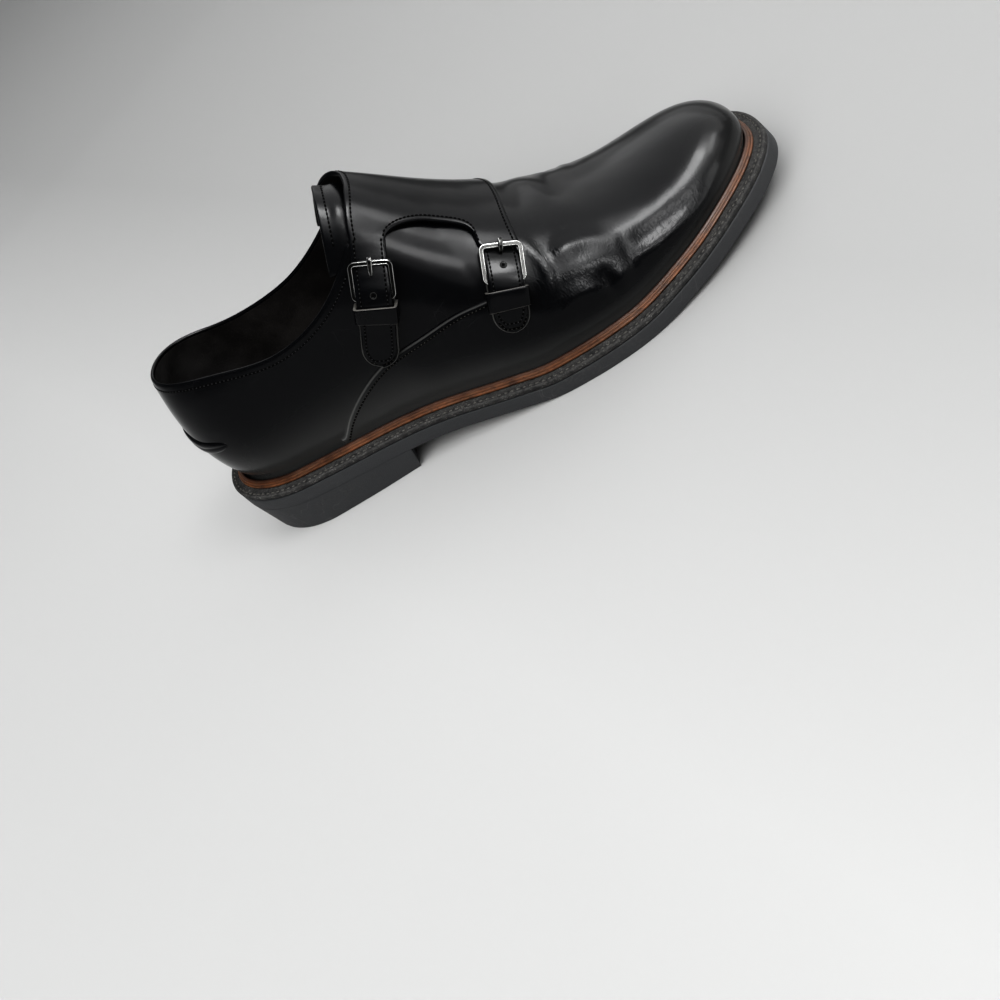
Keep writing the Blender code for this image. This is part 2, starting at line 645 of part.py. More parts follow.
def build_strap_trim(leather, metal):
    for name, strap in STRAPS.items():
        s, u, v, aim, offset = strap_grid(strap, CHAPE_HALF, 8.5, start=TOP_BAR[name] + BAR_TO_CHAPE)
        u, v = beside(u, v, aim, offset)
        low = ground(u, v) + GAP
        shell("chape_" + name, skin(u, v, low).reshape(-1, 3), skin(u, v, low + CHAPE).reshape(-1, 3),
              grid(*u.shape), leather)
        build_keeper(name, strap, leather)
        build_buckle(name, strap, metal)


def strap_frame(strap, s_at):
    """The middle of a strap at a distance along it: u, v and the way it runs."""
    s, u, v = strap_sections(strap, 0.5, 0.0)
    here_u, here_v = np.interp(s_at, s, u), np.interp(s_at, s, v)
    ahead = last(np.interp(s_at + 0.5, s, u), np.interp(s_at + 0.5, s, v))
    behind = last(np.interp(s_at - 0.5, s, u), np.interp(s_at - 0.5, s, v))
    aim = ahead - behind
    return here_u, here_v, aim / np.linalg.norm(aim)


def build_keeper(name, strap, leather):
    """A leather loop that bridges the strap; its two legs stand on the upper."""
    inner_half = CHAPE_HALF + GAP
    sections_in, sections_out = [], []
    start = TOP_BAR[name] + BAR_TO_KEEPER
    for s_at in np.linspace(start, start + KEEPER_LENGTH, 3):
        over = float(strap_rise[name](s_at)) + STRAP + GAP
        share = np.array([-1, -1, -0.95, -0.5, 0, 0.5, 0.95, 1, 1])
        rise = over - 0.4 * (np.abs(share) == 1)
        u, v, aim = (np.repeat(np.asarray(a)[None], 9, 0) for a in strap_frame(strap, s_at))
        for target, more in ((sections_in, 0.0), (sections_out, KEEPER)):
            offset = share * (inner_half + more)
            points = ribbon(u, v, aim, offset, rise + more)
            feet = [0, -1]
            foot_u, foot_v = beside(u[feet], v[feet], aim[feet], offset[feet])
            points[feet] = skin(foot_u, foot_v, ground(foot_u, foot_v) + GAP)
            target.append(points)
    inner, outer = np.concatenate(sections_in), np.concatenate(sections_out)
    shell("keeper_" + name, inner, outer, grid(3, 9), leather)


def build_buckle(name, strap, metal):
    """A rectangular wire frame and the prong that lies over its top bar."""
    centres = []
    top_bar = TOP_BAR[name]
    for s_at, height in ((top_bar, 4.6), (top_bar + BAR_TO_BAR, 3.5)):
        u, v, aim = strap_frame(strap, s_at)
        centres.append(skin(u, v, height))
    upper_bar, lower_bar = centres
    down = (lower_bar - upper_bar) / np.linalg.norm(lower_bar - upper_bar)
    u, v, aim = strap_frame(strap, top_bar + BAR_TO_BAR / 2)
    across = np.cross(down, skin(u, v, 1.0) - skin(u, v, 0.0))
    across /= np.linalg.norm(across)
    half_width, half_height = BUCKLE_WIDTH / 2 - WIRE, BUCKLE_HEIGHT / 2 - WIRE
    centre = (upper_bar + lower_bar) / 2
    bow = (skin(u, v, 4.0) - centre) @ across      # the strap's own bend between the bars
    centre = centre + across * bow / 2
    corner = 2.2
    path = []
    for a, d, start in ((1, 1, 0), (-1, 1, 90), (-1, -1, 180), (1, -1, 270)):
        for turn in np.radians(np.linspace(start, start + 90, 4)):
            path.append(centre + across * (a * (half_width - corner) + corner * np.cos(turn))
                        + down * (d * (half_height - corner) + corner * np.sin(turn)))
    tube("buckle_" + name, path, WIRE, metal, closed=True)
    prong = []
    for below, height in PRONGS[name]:
        u, v, aim = strap_frame(strap, top_bar + below)
        prong.append(skin(u, v, height))
    tube("prong_" + name, prong, PRONG, metal)


def main():
    for thing in list(bpy.data.objects):
        bpy.data.objects.remove(thing)
    leather = material("black_leather", (0.012, 0.012, 0.014), 0.22)
    rubber = material("black_sole", (0.03, 0.03, 0.032), 0.7)
    welt_leather = material("welt_leather", (0.025, 0.024, 0.023), 0.8)
    rand_leather = material("brown_rand", (0.16, 0.075, 0.04), 0.5)
    sock = material("sock_lining", (0.02, 0.018, 0.016), 0.8)
    metal = material("bright_metal", (0.8, 0.79, 0.77), 0.18, 1.0)
    build_bottom(rubber, welt_leather, rand_leather, sock)
    build_upper(leather)
    build_tongue(leather)
    build_flap(leather)
    build_strap_trim(leather, metal)


main()
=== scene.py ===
"""Looks of a polished double buckle strap shoe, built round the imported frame.

Lengths in the functions are millimetres in the shoe's own frame: x from the back of the
heel, y towards the medial side, z up.  place() turns them into metres of the part.
Every leather piece is cut from skin(u, v, depth): u runs along the shoe and turns round
the heel and the toe, v runs over it from the lateral feather line (0) to the medial (2).
"""
import json

import bmesh
import bpy
import numpy as np
from mathutils import Matrix, Vector


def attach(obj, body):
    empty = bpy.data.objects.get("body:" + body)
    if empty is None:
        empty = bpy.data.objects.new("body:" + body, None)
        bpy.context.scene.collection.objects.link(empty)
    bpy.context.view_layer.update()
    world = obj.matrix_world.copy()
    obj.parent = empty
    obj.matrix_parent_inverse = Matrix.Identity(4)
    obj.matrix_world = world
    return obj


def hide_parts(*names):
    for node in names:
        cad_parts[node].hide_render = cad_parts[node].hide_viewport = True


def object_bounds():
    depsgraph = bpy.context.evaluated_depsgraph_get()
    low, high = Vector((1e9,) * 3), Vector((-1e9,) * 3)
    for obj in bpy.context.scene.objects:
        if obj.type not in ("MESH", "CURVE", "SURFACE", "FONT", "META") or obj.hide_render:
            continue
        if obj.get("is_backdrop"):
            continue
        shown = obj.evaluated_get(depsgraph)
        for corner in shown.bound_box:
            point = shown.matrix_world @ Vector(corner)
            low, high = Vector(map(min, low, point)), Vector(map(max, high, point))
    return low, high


bl_info = {
    "name": "Double Buckle Strap Shoe",
    "version": (1, 0, 0),
    "blender": (4, 5, 0),
    "location": "3D View > Sidebar > Shoe",
    "description": "Builds the leather, stitches, metal, sole and stage of the shoe",
    "category": "Object",
}

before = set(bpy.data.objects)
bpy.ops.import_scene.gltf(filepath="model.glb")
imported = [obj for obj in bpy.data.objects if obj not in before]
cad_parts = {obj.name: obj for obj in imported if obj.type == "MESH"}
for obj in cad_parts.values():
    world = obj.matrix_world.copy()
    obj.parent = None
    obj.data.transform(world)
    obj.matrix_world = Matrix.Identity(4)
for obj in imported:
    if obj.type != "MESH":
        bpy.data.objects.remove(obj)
CAD_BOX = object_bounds()

# ---------------------------------------------------------------- sizes shared with the solids
LENGTH = 305.0
MIDDLE = 0.1
GAP = 0.3
OUTSOLE = 8.0
WELT = 3.0
WELT_WIDTH = 8.8
RAND_HEIGHT = 3.7
BREAST = 90.0
BREAST_SLANT = 3.0
HEEL_TAPER = 2.0
WALL = 3.0
LAP = 1.0
TONGUE = 1.8
FLAP = 2.1
STRAP = 1.8
STRAP_HALF = 6.9
CHAPE = 1.6
CHAPE_HALF = 7.6
KEEPER = 1.4
KEEPER_LENGTH = 7.2
BUCKLE_WIDTH = 18.7
BUCKLE_HEIGHT = 17.0
WIRE = 0.95
STRAP_ROUND, CHAPE_ROUND = 8.0, 8.5     # length of the rounded ends
STRAP_CROWN = 0.3                       # how far a strap's middle stands over its edges


def table(columns, *rows):
    """A dict of named columns."""
    return dict(zip(columns.split(), np.array(rows, float).T))


SOLE = table("x lateral medial centre",
             (0, 34.3, 35.6, -0.3),
             (30.5, 35.7, 36.8, 0.4),
             (67, 37.2, 36.9, -0.9),
             (104, 37.1, 37.6, -3.4),
             (140, 42.3, 42.1, -5.7),
             (177, 51.4, 51.5, -3.5),
             (207, 54.7, 56.3, -0.7),
             (238, 50.5, 52.9, 2.0),
             (268, 43.5, 47.9, 4.8),
             (305, 36.3, 42.6, 6.3))
HEEL_ROUND = (40.6, 2.1)
TOE_ROUND = (60.0, 2.3)
UNDERSIDE = table("x z",
                  (0, 22.3), (37, 18.4), (75, 14.6), (110, 9.9), (146, 3.4),
                  (168, 0.0), (208, 0.0), (238, 2.9), (271, 8.0), (305, 12.3))
LAST = table("x ridge top lateral medial crown bulge_lateral bulge_medial",
             (10, 0.0, 135.0, 0.97, 0.97, 0.92, 5.4, 5.4),
             (40, 0.1, 143.0, 1.03, 1.02, 0.99, 5.2, 4.4),
             (70, 0.6, 147.2, 0.99, 1.00, 0.99, 3.5, 4.3),
             (100, 1.7, 143.5, 0.94, 0.96, 0.98, 2.4, 6.1),
             (135, 4.3, 121.8, 0.87, 0.91, 0.95, 2.3, 8.1),
             (160, 6.1, 96.1, 0.89, 0.88, 0.94, 2.4, 9.0),
             (186, 7.3, 72.4, 0.87, 0.89, 0.95, 2.8, 5.8),
             (210, 6.8, 58.2, 0.83, 0.90, 0.94, 1.7, 1.7),
             (235, 5.7, 49.3, 0.87, 0.88, 0.92, 0.8, 2.0),
             (262, 5.4, 50.5, 0.88, 0.89, 0.89, 1.6, 2.2),
             (285, 5.6, 57.0, 0.93, 0.93, 0.89, 1.6, 1.7),
             (305, 5.9, 59.2, 0.98, 0.98, 0.91, 1.6, 1.6))
COLLAR = table("x lateral medial",
               (6, 103.2, 103.2), (12, 102.3, 102.3), (40, 96.8, 91.5), (70, 87.0, 86.3), (86, 86.6, 87.2),
               (100, 89.8, 91.2), (115, 97.0, 98.6), (130, 106.8, 108.6))
SEAM = table("u lateral medial", (66, 0.0, 0.0), (77, 0.063, 0.07), (92, 0.12, 0.14), (105, 0.157, 0.19),
             (128, 0.208, 0.255), (149, 0.28, 0.31), (162, 0.327, 0.37), (176, 0.40, 0.42),
             (205, 0.40, 0.40))
FLAP_REAR = table("v u", (0.60, 130.3), (0.80, 136.5), (1.0, 138.6), (1.15, 134.5), (1.43, 121.0))
FLAP_FRONT = table("v u", (0.60, 184.8), (0.77, 186.2), (1.0, 187.5), (1.35, 179.5), (1.59, 171.5))
STRAP_V = 0.60
CUT_V = 0.724
CUT = (141.0, 171.2)
CUT_REAR, CUT_FRONT = 1.6, 4.0
STRAPS = {"rear": table("v u", (0.60, 135.7), (0.51, 131.6), (0.37, 123.8), (0.295, 118.3),
                        (0.235, 112.9), (0.165, 106.6)),
          "front": table("v u", (0.60, 177.9), (0.51, 175.2), (0.41, 172.0), (0.296, 167.9),
                         (0.24, 165.8), (0.185, 163.4))}
STRAP_RISE = {"rear": table("s depth", (0, 0.3), (4, 0.6), (9, 1.2), (15, 2.8), (22, 4.75), (25, 4.85),
                            (34, 3.0), (40, 2.25), (60, 2.25)),
              "front": table("s depth", (0, 0.3), (3, 1.0), (8, 2.8), (15, 4.75), (18, 4.85),
                             (27, 3.0), (33, 2.25), (60, 2.25))}
TOP_BAR = {"rear": 8.5, "front": 1.5}
BAR_TO_BAR = 15.1
BAR_TO_CHAPE = 6.5
BAR_TO_KEEPER = 17.7
BAR_TO_HOLE = {"rear": 12.6, "front": 8.6}
MEDIAL_END = (104.0, 171.2)             # where the medial quarter's edge lies under the vamp
STRAP_TIP = 3.5
HEEL_AXIS, TOE_AXIS = 42.0, 214.0
HEEL_TURN, TOE_TURN = 30.0, 46.0
U_HEEL = HEEL_AXIS - HEEL_TURN * np.pi / 2
U_TOE = TOE_AXIS + TOE_TURN * np.pi / 2
THROAT = 150.0
COLLAR_END = 128.0                # the collar's curve is followed up to here, and an ellipse closes it
SEAM_START = 66.0                 # where the vamp's edge leaves the sole
LAP_END, LAP_FADE = 174.0, 12.0   # where the vamp's step ends, and over how much of u
WELT_TOP = OUTSOLE + WELT
FEATHER = WELT_TOP + RAND_HEIGHT
FOOT = RAND_HEIGHT - 0.4

# ---------------------------------------------------------------- what only the looks have
SOLE_POINTS = 161
HEEL_POINTS = 91
FEATHER_POINTS = 240
VAMP_ROWS, QUARTER_ROWS = 11, 45  # rows of the upper's points below the vamp's edge, and above it
STRAP_COLUMNS, ARCH_COLUMNS = 15, 37    # columns of points over a strap, and between the two
FLAP_ROWS, FOOT_ROWS = 64, 31     # rows of points over the flap, and down the medial quarter
TOPLINE_INSET, FLAP_INSET, ARCH_INSET, EDGE_INSET = 2.4, 1.7, 1.6, 1.3    # from an edge to its stitches
STEP_U, STEP_V = 0.4, 0.004       # how far apart the last is read for its normal
BESIDE_STEPS = 4                  # a walk across the last is made in this many steps
BULGE_PEAK = 27 / 4               # brings the peak of up * (1 - up) ** 2 to one
FOLD_POINTS = 80                  # places read along a fold
FOLD_MOST = 4.0                   # no fold stands out or sinks in more than about this
FOLD_REACH = 4.0                  # a fold is felt this many widths away
FOLD_FADE = 0.7                   # how soon a fold dies out at its ends
BANK_SPREAD, BANK_SHARE = 5.0, 0.3    # the banks beside a crease: how much wider, and how high
WRINKLE_WIDTH = 3.0               # folds wider than this wrinkle the finish less
# soft folds worn into the leather: rise, width, then u and v along each
FOLDS = {
    "behind_toe_top": (-0.35, 7.5, [(227, 1.30), (226, 1.1), (224, 0.95), (221, 0.80), (222, 0.65)]),
    "front_of_flap": (-0.5, 5.5, [(190, 1.42), (191, 1.28), (193, 1.09), (195, 0.93), (195, 0.78),
                                  (193, 0.68)]),
    "instep_ridge": (0.5, 5.5, [(197, 1.40), (200, 1.2), (204, 1.0), (207, 0.88), (207, 0.78)]),
    "instep_trough": (-0.6, 5.0, [(204, 1.30), (207, 1.15), (211, 1.02), (208, 0.9), (203, 0.79), (199, 0.65),
                                  (195, 0.53), (194, 0.45)]),
    "buckle_ridge": (1.1, 3.0, [(186.5, 0.66), (187.5, 0.60), (188.5, 0.51), (189, 0.43), (186.5, 0.34),
                                (183, 0.26), (181, 0.19), (180, 0.11)]),
    "side_bulge": (1.0, 4.8, [(193, 0.46), (197, 0.505), (202, 0.53), (208, 0.53), (213, 0.50), (218, 0.44)]),
    "swell": (1.4, 7.0, [(184, 0.33), (192, 0.37), (202, 0.38), (212, 0.355), (220, 0.32)]),
    "low_bulge": (2.4, 3.2, [(183, 0.17), (187, 0.22), (192, 0.25), (197, 0.252), (202, 0.225), (206, 0.18)]),
    "toe_crease": (-0.6, 2.6, [(223.5, 0.46), (222.5, 0.41), (221.8, 0.36), (221.0, 0.29), (219.5, 0.20)]),
    "small_ridge": (1.9, 3.2, [(209.5, 0.17), (212.5, 0.21), (215.5, 0.235), (218, 0.25)]),
    "small_crease": (-0.9, 2.6, [(209.0, 0.32), (208.7, 0.24), (208.2, 0.12)]),
    "toe_groove": (-1.4, 4.4, [(224, 0.36), (230, 0.34), (237, 0.315), (244, 0.295), (252, 0.25),
                               (265, 0.17)]),
    "toe_fold": (1.1, 3.6, [(219, 0.27), (226, 0.255), (233, 0.235), (241, 0.215), (249, 0.18), (262, 0.12)]),
    "side_blob": (1.0, 5.0, [(194, 0.48), (197, 0.51), (201, 0.52), (204, 0.495)]),
    "medial_fold": (-0.5, 3.0, [(200, 1.46), (207, 1.385), (213, 1.28), (222, 1.19)]),
    "medial_crease": (-0.5, 2.2, [(212, 1.43), (219, 1.33), (225, 1.22)]),
    "medial_ridge": (0.5, 4.0, [(217, 1.46), (225, 1.33), (231, 1.19), (233, 1.05)]),
    "medial_trough": (-0.35, 3.4, [(222, 1.45), (231, 1.32), (238, 1.18), (240, 1.04)]),
    "medial_side": (0.5, 3.0, [(188, 1.63), (197, 1.62), (204, 1.59), (210, 1.54)]),
    "medial_low": (-0.4, 4.0, [(196, 1.75), (206, 1.70), (214, 1.63)]),
    "quarter_pucker": (-0.6, 3.0, [(107, 0.150), (112, 0.125), (118, 0.105), (123, 0.10)]),
    "waist_wave": (0.35, 6.0, [(96, 0.08), (112, 0.06), (128, 0.07)]),
}


# ---------------------------------------------------------------- curves
def spline(data, column, key="x"):
    """A natural cubic through a table's column, straight beyond its ends."""
    xs, ys = data[key], data[column]
    if xs[0] > xs[-1]:
        xs, ys = xs[::-1], ys[::-1]
    step = np.diff(xs)
    slope = np.diff(ys) / step
    system = np.eye(len(xs))
    right = np.zeros(len(xs))
    for i in range(1, len(xs) - 1):
        system[i, i - 1:i + 2] = step[i - 1], 2 * (step[i - 1] + step[i]), step[i]
        right[i] = 6 * (slope[i] - slope[i - 1])
    bend = np.linalg.solve(system, right)

    def value(x):
        x = np.asarray(x, float)
        i = np.clip(np.searchsorted(xs, x) - 1, 0, len(xs) - 2)
        t, h = np.clip(x, xs[0], xs[-1]) - xs[i], step[i]
        inside = (ys[i] + t * (slope[i] - h * (2 * bend[i] + bend[i + 1]) / 6)
                  + t ** 2 * bend[i] / 2 + t ** 3 * (bend[i + 1] - bend[i]) / (6 * h))
        first = slope[0] - step[0] * bend[1] / 6
        last_slope = slope[-1] + step[-1] * bend[-2] / 6
        return inside + np.minimum(x - xs[0], 0) * first + np.maximum(x - xs[-1], 0) * last_slope
    return value


def steady(data, column, key="x"):
    """A cubic through a table's column that never overshoots."""
    xs, ys = data[key], data[column]
    step = np.diff(xs)
    slope = np.diff(ys) / step
    grade = np.zeros(len(xs))
    for i in range(1, len(xs) - 1):
        if slope[i - 1] * slope[i] > 0:
            a, b = 2 * step[i] + step[i - 1], step[i] + 2 * step[i - 1]
            grade[i] = (a + b) / (a / slope[i - 1] + b / slope[i])
    grade[0], grade[-1] = slope[0], slope[-1]

    def value(x):
        x = np.clip(np.asarray(x, float), xs[0], xs[-1])
        i = np.clip(np.searchsorted(xs, x) - 1, 0, len(xs) - 2)
        h = step[i]
        t = (x - xs[i]) / h
        return ((1 + 2 * t) * (1 - t) ** 2 * ys[i] + t * (1 - t) ** 2 * h * grade[i]
                + t ** 2 * (3 - 2 * t) * ys[i + 1] + t ** 2 * (t - 1) * h * grade[i + 1])
    return value


def smooth(t):
    """An easy rise from 0 to 1."""
    t = np.clip(t, 0, 1)
    return t * t * (3 - 2 * t)


def unit(vectors):
    """Vectors brought to length one."""
    return vectors / np.maximum(np.linalg.norm(vectors, axis=-1, keepdims=True), 1e-9)


half_lateral, half_medial, middle_line = (spline(SOLE, column) for column in SOLE if column != "x")
underside = steady(UNDERSIDE, "z")
ridge, top, full_lateral, full_medial, crown, bulge_lateral, bulge_medial = (
    spline(LAST, column) for column in LAST if column != "x")
collar = {-1: spline(COLLAR, "lateral"), 1: spline(COLLAR, "medial")}
seam_v = {-1: steady(SEAM, "lateral", "u"), 1: steady(SEAM, "medial", "u")}
flap_rear, flap_front = spline(FLAP_REAR, "u", "v"), spline(FLAP_FRONT, "u", "v")
strap_rise = {name: steady(rise, "depth", "s") for name, rise in STRAP_RISE.items()}


# ---------------------------------------------------------------- the sole's outline
def sole_edge(x, side):
    """The outline's points on one side, -1 lateral and 1 medial."""
    def rounded(distance, length, fullness):
        q = np.clip(1 - distance / length, 0, 1)
        return (1 - q ** fullness) ** (1 / fullness)
    ends = rounded(x, *HEEL_ROUND) * rounded(LENGTH - x, *TOE_ROUND)
    half = half_lateral(x) if side < 0 else half_medial(x)
    return np.stack([x, middle_line(x) + side * half * ends], -1)


def sole_loop(points=SOLE_POINTS, end=LENGTH):
    """The sole's outline seen from above, closed, or up to a straight line across it."""
    if end < LENGTH:
        x = end * (1 - np.cos(np.pi / 2 * np.linspace(0, 1, points)))
        return np.concatenate([sole_edge(x, -1), sole_edge(x[:0:-1], 1)])
    x = end * (1 - np.cos(np.pi * np.linspace(0, 1, points))) / 2
    return np.concatenate([sole_edge(x, -1), sole_edge(x[-2:0:-1], 1)])


def inset(loop, width):
    """A closed line moved inward."""
    along = unit(np.roll(loop, -1, 0) - np.roll(loop, 1, 0))
    return loop + np.stack([-along[:, 1], along[:, 0]], 1) * np.reshape(width, (-1, 1))


def flare(x):
    """How far the toe's edge leans in from its foot to the welt's top."""
    return 3.0 * np.clip((x - 235) / 70, 0, 1) ** 2


def top_loop(points=SOLE_POINTS, share=1.0):
    """The outline at a share of the height from the outsole's foot to the welt's top."""
    loop = sole_loop(points)
    return inset(loop, share * flare(loop[:, 0]))


def feather_loop(points=SOLE_POINTS, inward=0.0):
    """The line where the upper meets the welt."""
    return inset(inset(top_loop(points), WELT_WIDTH), inward)


def level(loop, height):
    """A line from above, laid at a height over the sole's underside."""
    return np.column_stack([loop, underside(loop[:, 0]) + height])


# ---------------------------------------------------------------- the last
def axis_point(u):
    """Where the section at u starts, on the last's ridge line."""
    x = np.clip(u, HEEL_AXIS, TOE_AXIS)
    return np.stack([x, ridge(x)], -1)


def section_way(u, side):
    """The way that the section runs from there, seen from above."""
    turn = np.maximum((HEEL_AXIS - u) / HEEL_TURN, 0) - np.maximum((u - TOE_AXIS) / TOE_TURN, 0)
    return np.stack([-np.sin(turn), side * np.cos(turn)], -1)


def reach_table(side):
    """How far each section runs to the feather line."""
    u = np.linspace(U_HEEL, U_TOE, 321)
    loop = feather_loop(FEATHER_POINTS)
    start = axis_point(u)[:, None]
    way = section_way(u, side)[:, None]
    chord = np.roll(loop, -1, 0) - loop
    gap = loop - start
    cross = way[..., 1] * chord[:, 0] - way[..., 0] * chord[:, 1]
    far = (gap[..., 1] * chord[:, 0] - gap[..., 0] * chord[:, 1]) / cross
    along = (way[..., 0] * gap[..., 1] - way[..., 1] * gap[..., 0]) / cross
    hit = (along >= -1e-6) & (along <= 1 + 1e-6) & (far > 0)
    return np.where(hit, far, 0).max(1)


REACH = {side: reach_table(side) for side in (-1, 1)}


def reach(u, side):
    """The table above, read smoothly between its rows."""
    data = REACH[side]
    place_in = (u - U_HEEL) / (U_TOE - U_HEEL) * (len(data) - 1)
    i = np.clip(place_in.astype(int), 0, len(data) - 2)
    t = place_in - i
    b, c = data[i], data[i + 1]
    a = np.where(i > 0, data[np.maximum(i - 1, 0)], c)
    d = np.where(i < len(data) - 2, data[np.minimum(i + 2, len(data) - 1)], b)
    return b + 0.5 * t * (c - a + t * (2 * a - 5 * b + 4 * c - d + t * (3 * (b - c) + d - a)))


def last(u, v):
    """Outer face of the vamp over the whole last."""
    u, v = np.broadcast_arrays(np.asarray(u, float), np.asarray(v, float))
    past = (u < U_HEEL) | (u > U_TOE)
    v = np.where(past, 2 - v, v)
    u = np.where(u < U_HEEL, 2 * U_HEEL - u, np.where(u > U_TOE, 2 * U_TOE - u, u))
    medial = v > 1
    rise = np.where(medial, 2 - v, v)
    axis = axis_point(u)
    way = np.where(medial[..., None], section_way(u, 1), section_way(u, -1))
    out = np.where(medial, reach(u, 1), reach(u, -1))
    x = axis[..., 0] + way[..., 0] * out * 0.6
    share = 0.5 * (1 + way[..., 1])
    angle = np.clip(rise, 0, 1) * np.pi / 2
    side = np.clip(np.cos(angle), 0, 1) ** (full_lateral(x) * (1 - share) + full_medial(x) * share)
    up = np.sin(angle) ** crown(x)
    bulge = bulge_lateral(x) * (1 - share) + bulge_medial(x) * share
    out_here = out * side + bulge * BULGE_PEAK * up * (1 - up) ** 2
    low = underside(axis[..., 0] + way[..., 0] * out) + FEATHER
    plan = axis + way * out_here[..., None]
    z = low + (top(plan[..., 0]) - low) * up + np.minimum(rise, 0) * FOOT
    return np.concatenate([plan, z[..., None]], -1)


def normal_at(u, v):
    """The last's outward normal; level below the feather line."""
    u, v = np.broadcast_arrays(np.asarray(u, float), np.asarray(v, float))
    pole = (u > TOE_AXIS) & (np.abs(v - 1) < STEP_V)
    nu = np.where(pole, TOE_AXIS - 0.5, u)
    along = last(nu + STEP_U, v) - last(nu - STEP_U, v)
    over = last(nu, v + STEP_V) - last(nu, v - STEP_V)
    normal = np.cross(along, over)
    normal[..., 2] *= (v > 0) & (v < 2)
    return unit(normal)


def skin(u, v, depth=0.0):
    """A point of the last moved along its normal; plus is outward."""
    return last(u, v) + normal_at(u, v) * np.asarray(depth)[..., None]


def collar_v(u, side):
    """v at the collar's edge, as a rise from that side's feather line."""
    steps = np.linspace(0.15, 0.9, 301)
    limit = min(u, COLLAR_END)
    line = last(limit, steps if side < 0 else 2 - steps)
    over = line[:, 2] - collar[side](line[:, 0])
    k = int(np.argmax(over > 0))
    rise = steps[k - 1] - over[k - 1] * (steps[k] - steps[k - 1]) / (over[k] - over[k - 1])
    if u <= limit:
        return rise
    return 1 - (1 - rise) * np.sqrt(max(0.0, 1 - ((u - limit) / (THROAT - limit)) ** 2))


def lap_at(u):
    """How far the vamp stands proud of the quarters at u."""
    return LAP * np.clip((LAP_END - u) / LAP_FADE, 0, 1)


def ground(u, v):
    """Depth of the upper's outer face."""
    u, v = np.asarray(u, float), np.asarray(v, float)
    rise = np.minimum(v, 2 - v)
    line = np.where(v < 1, *(seam_v[side](np.maximum(u, SEAM_START)) for side in (-1, 1)))
    past = np.clip((rise - line) / 0.006 - 0.2, 0, 1)
    return -lap_at(u) * np.where(u < SEAM_START, 1, past)


def beside(u, v, aim, distance):
    """The point of the skin a given distance across a line that runs along aim."""
    for _ in range(BESIDE_STEPS):
        du = last(u + 0.5, v) - last(u - 0.5, v)
        dv = (last(u, v + 0.005) - last(u, v - 0.005)) / 0.01
        across = unit(np.cross(aim, np.cross(du, dv)))
        move = across * (np.asarray(distance) / BESIDE_STEPS)[..., None]
        uu, uv, vv = (du * du).sum(-1), (du * dv).sum(-1), (dv * dv).sum(-1)
        ru, rv = (du * move).sum(-1), (dv * move).sum(-1)
        det = uu * vv - uv ** 2
        u = u + (ru * vv - rv * uv) / det
        v = v + (uu * rv - uv * ru) / det
    return u, v


def relief(points, amount=1.0):
    """Height of the worn folds at points of the skin, and how much the leather flexes there."""
    flat = points.reshape(-1, 3)
    total, flex = np.zeros(len(flat)), np.zeros(len(flat))
    for rise, width, line in FOLDS.values():
        line = table("t u v", *((t, u, v) for t, (u, v) in enumerate(line)))
        t = np.linspace(0, line["t"][-1], FOLD_POINTS)
        curve = last(spline(line, "u", "t")(t), spline(line, "v", "t")(t))
        low, high = curve.min(0) - FOLD_REACH * width, curve.max(0) + FOLD_REACH * width
        near = ((flat > low) & (flat < high)).all(1)
        if not near.any():
            continue
        gap = ((flat[near][:, None] - curve[None]) ** 2).sum(2) / width ** 2
        step = np.linalg.norm(np.gradient(curve, axis=0), axis=1)
        share = step * np.sin(np.pi * t / t[-1]) ** FOLD_FADE / (width * np.sqrt(np.pi))
        shape = np.exp(-gap) @ share
        wide = np.exp(-gap / BANK_SPREAD) @ share / np.sqrt(BANK_SPREAD)
        total[near] += amount * rise * (shape - BANK_SHARE * wide * (rise < 0))
        flex[near] += abs(rise) * wide * min(1.0, WRINKLE_WIDTH / width) ** 2
    total = FOLD_MOST * np.tanh(total / FOLD_MOST)
    return total.reshape(points.shape[:-1]), np.clip(flex, 0, 1).reshape(points.shape[:-1])


# ---------------------------------------------------------------- meshes
def place(points):
    """Millimetres of the shoe's own frame as metres of the part."""
    return (np.asarray(points) - (LENGTH / 2, MIDDLE, 0)) * 0.001


def piece(name, points, faces, mats, slot, nodes=(), marks=None, kinds=None, sharp=None):
    """A mesh of the part: its materials, the nodes it stands for and its point attributes."""
    old = bpy.data.objects.get(name)
    if old:
        bpy.data.objects.remove(old)
    mesh = bpy.data.meshes.new(name)
    mesh.from_pydata(place(points).tolist(), [], faces)
    work = bmesh.new()
    work.from_mesh(mesh)
    bmesh.ops.recalc_face_normals(work, faces=work.faces)
    work.to_mesh(mesh)
    work.free()
    for mat in mats:
        mesh.materials.append(mat)
    if kinds is not None:
        mesh.polygons.foreach_set("material_index", np.asarray(kinds, np.int32))
    for key, values in (marks or {}).items():
        attribute = mesh.attributes.new(key, "FLOAT", "POINT")
        attribute.data.foreach_set("value", np.asarray(values, np.float32))
    mesh.shade_smooth()
    if sharp:
        mesh.set_sharp_from_angle(angle=np.radians(sharp))
    thing = bpy.data.objects.new(name, mesh)
    bpy.context.scene.collection.objects.link(thing)
    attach(thing, "root")
    if nodes:
        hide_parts(*nodes)
    return thing


def grid(rows, columns):
    """Faces of a net of points, row by row."""
    faces = []
    for r in range(rows - 1):
        for c in range(columns - 1):
            k = r * columns + c
            faces.append([k, k + 1, k + columns + 1, k + columns])
    return faces


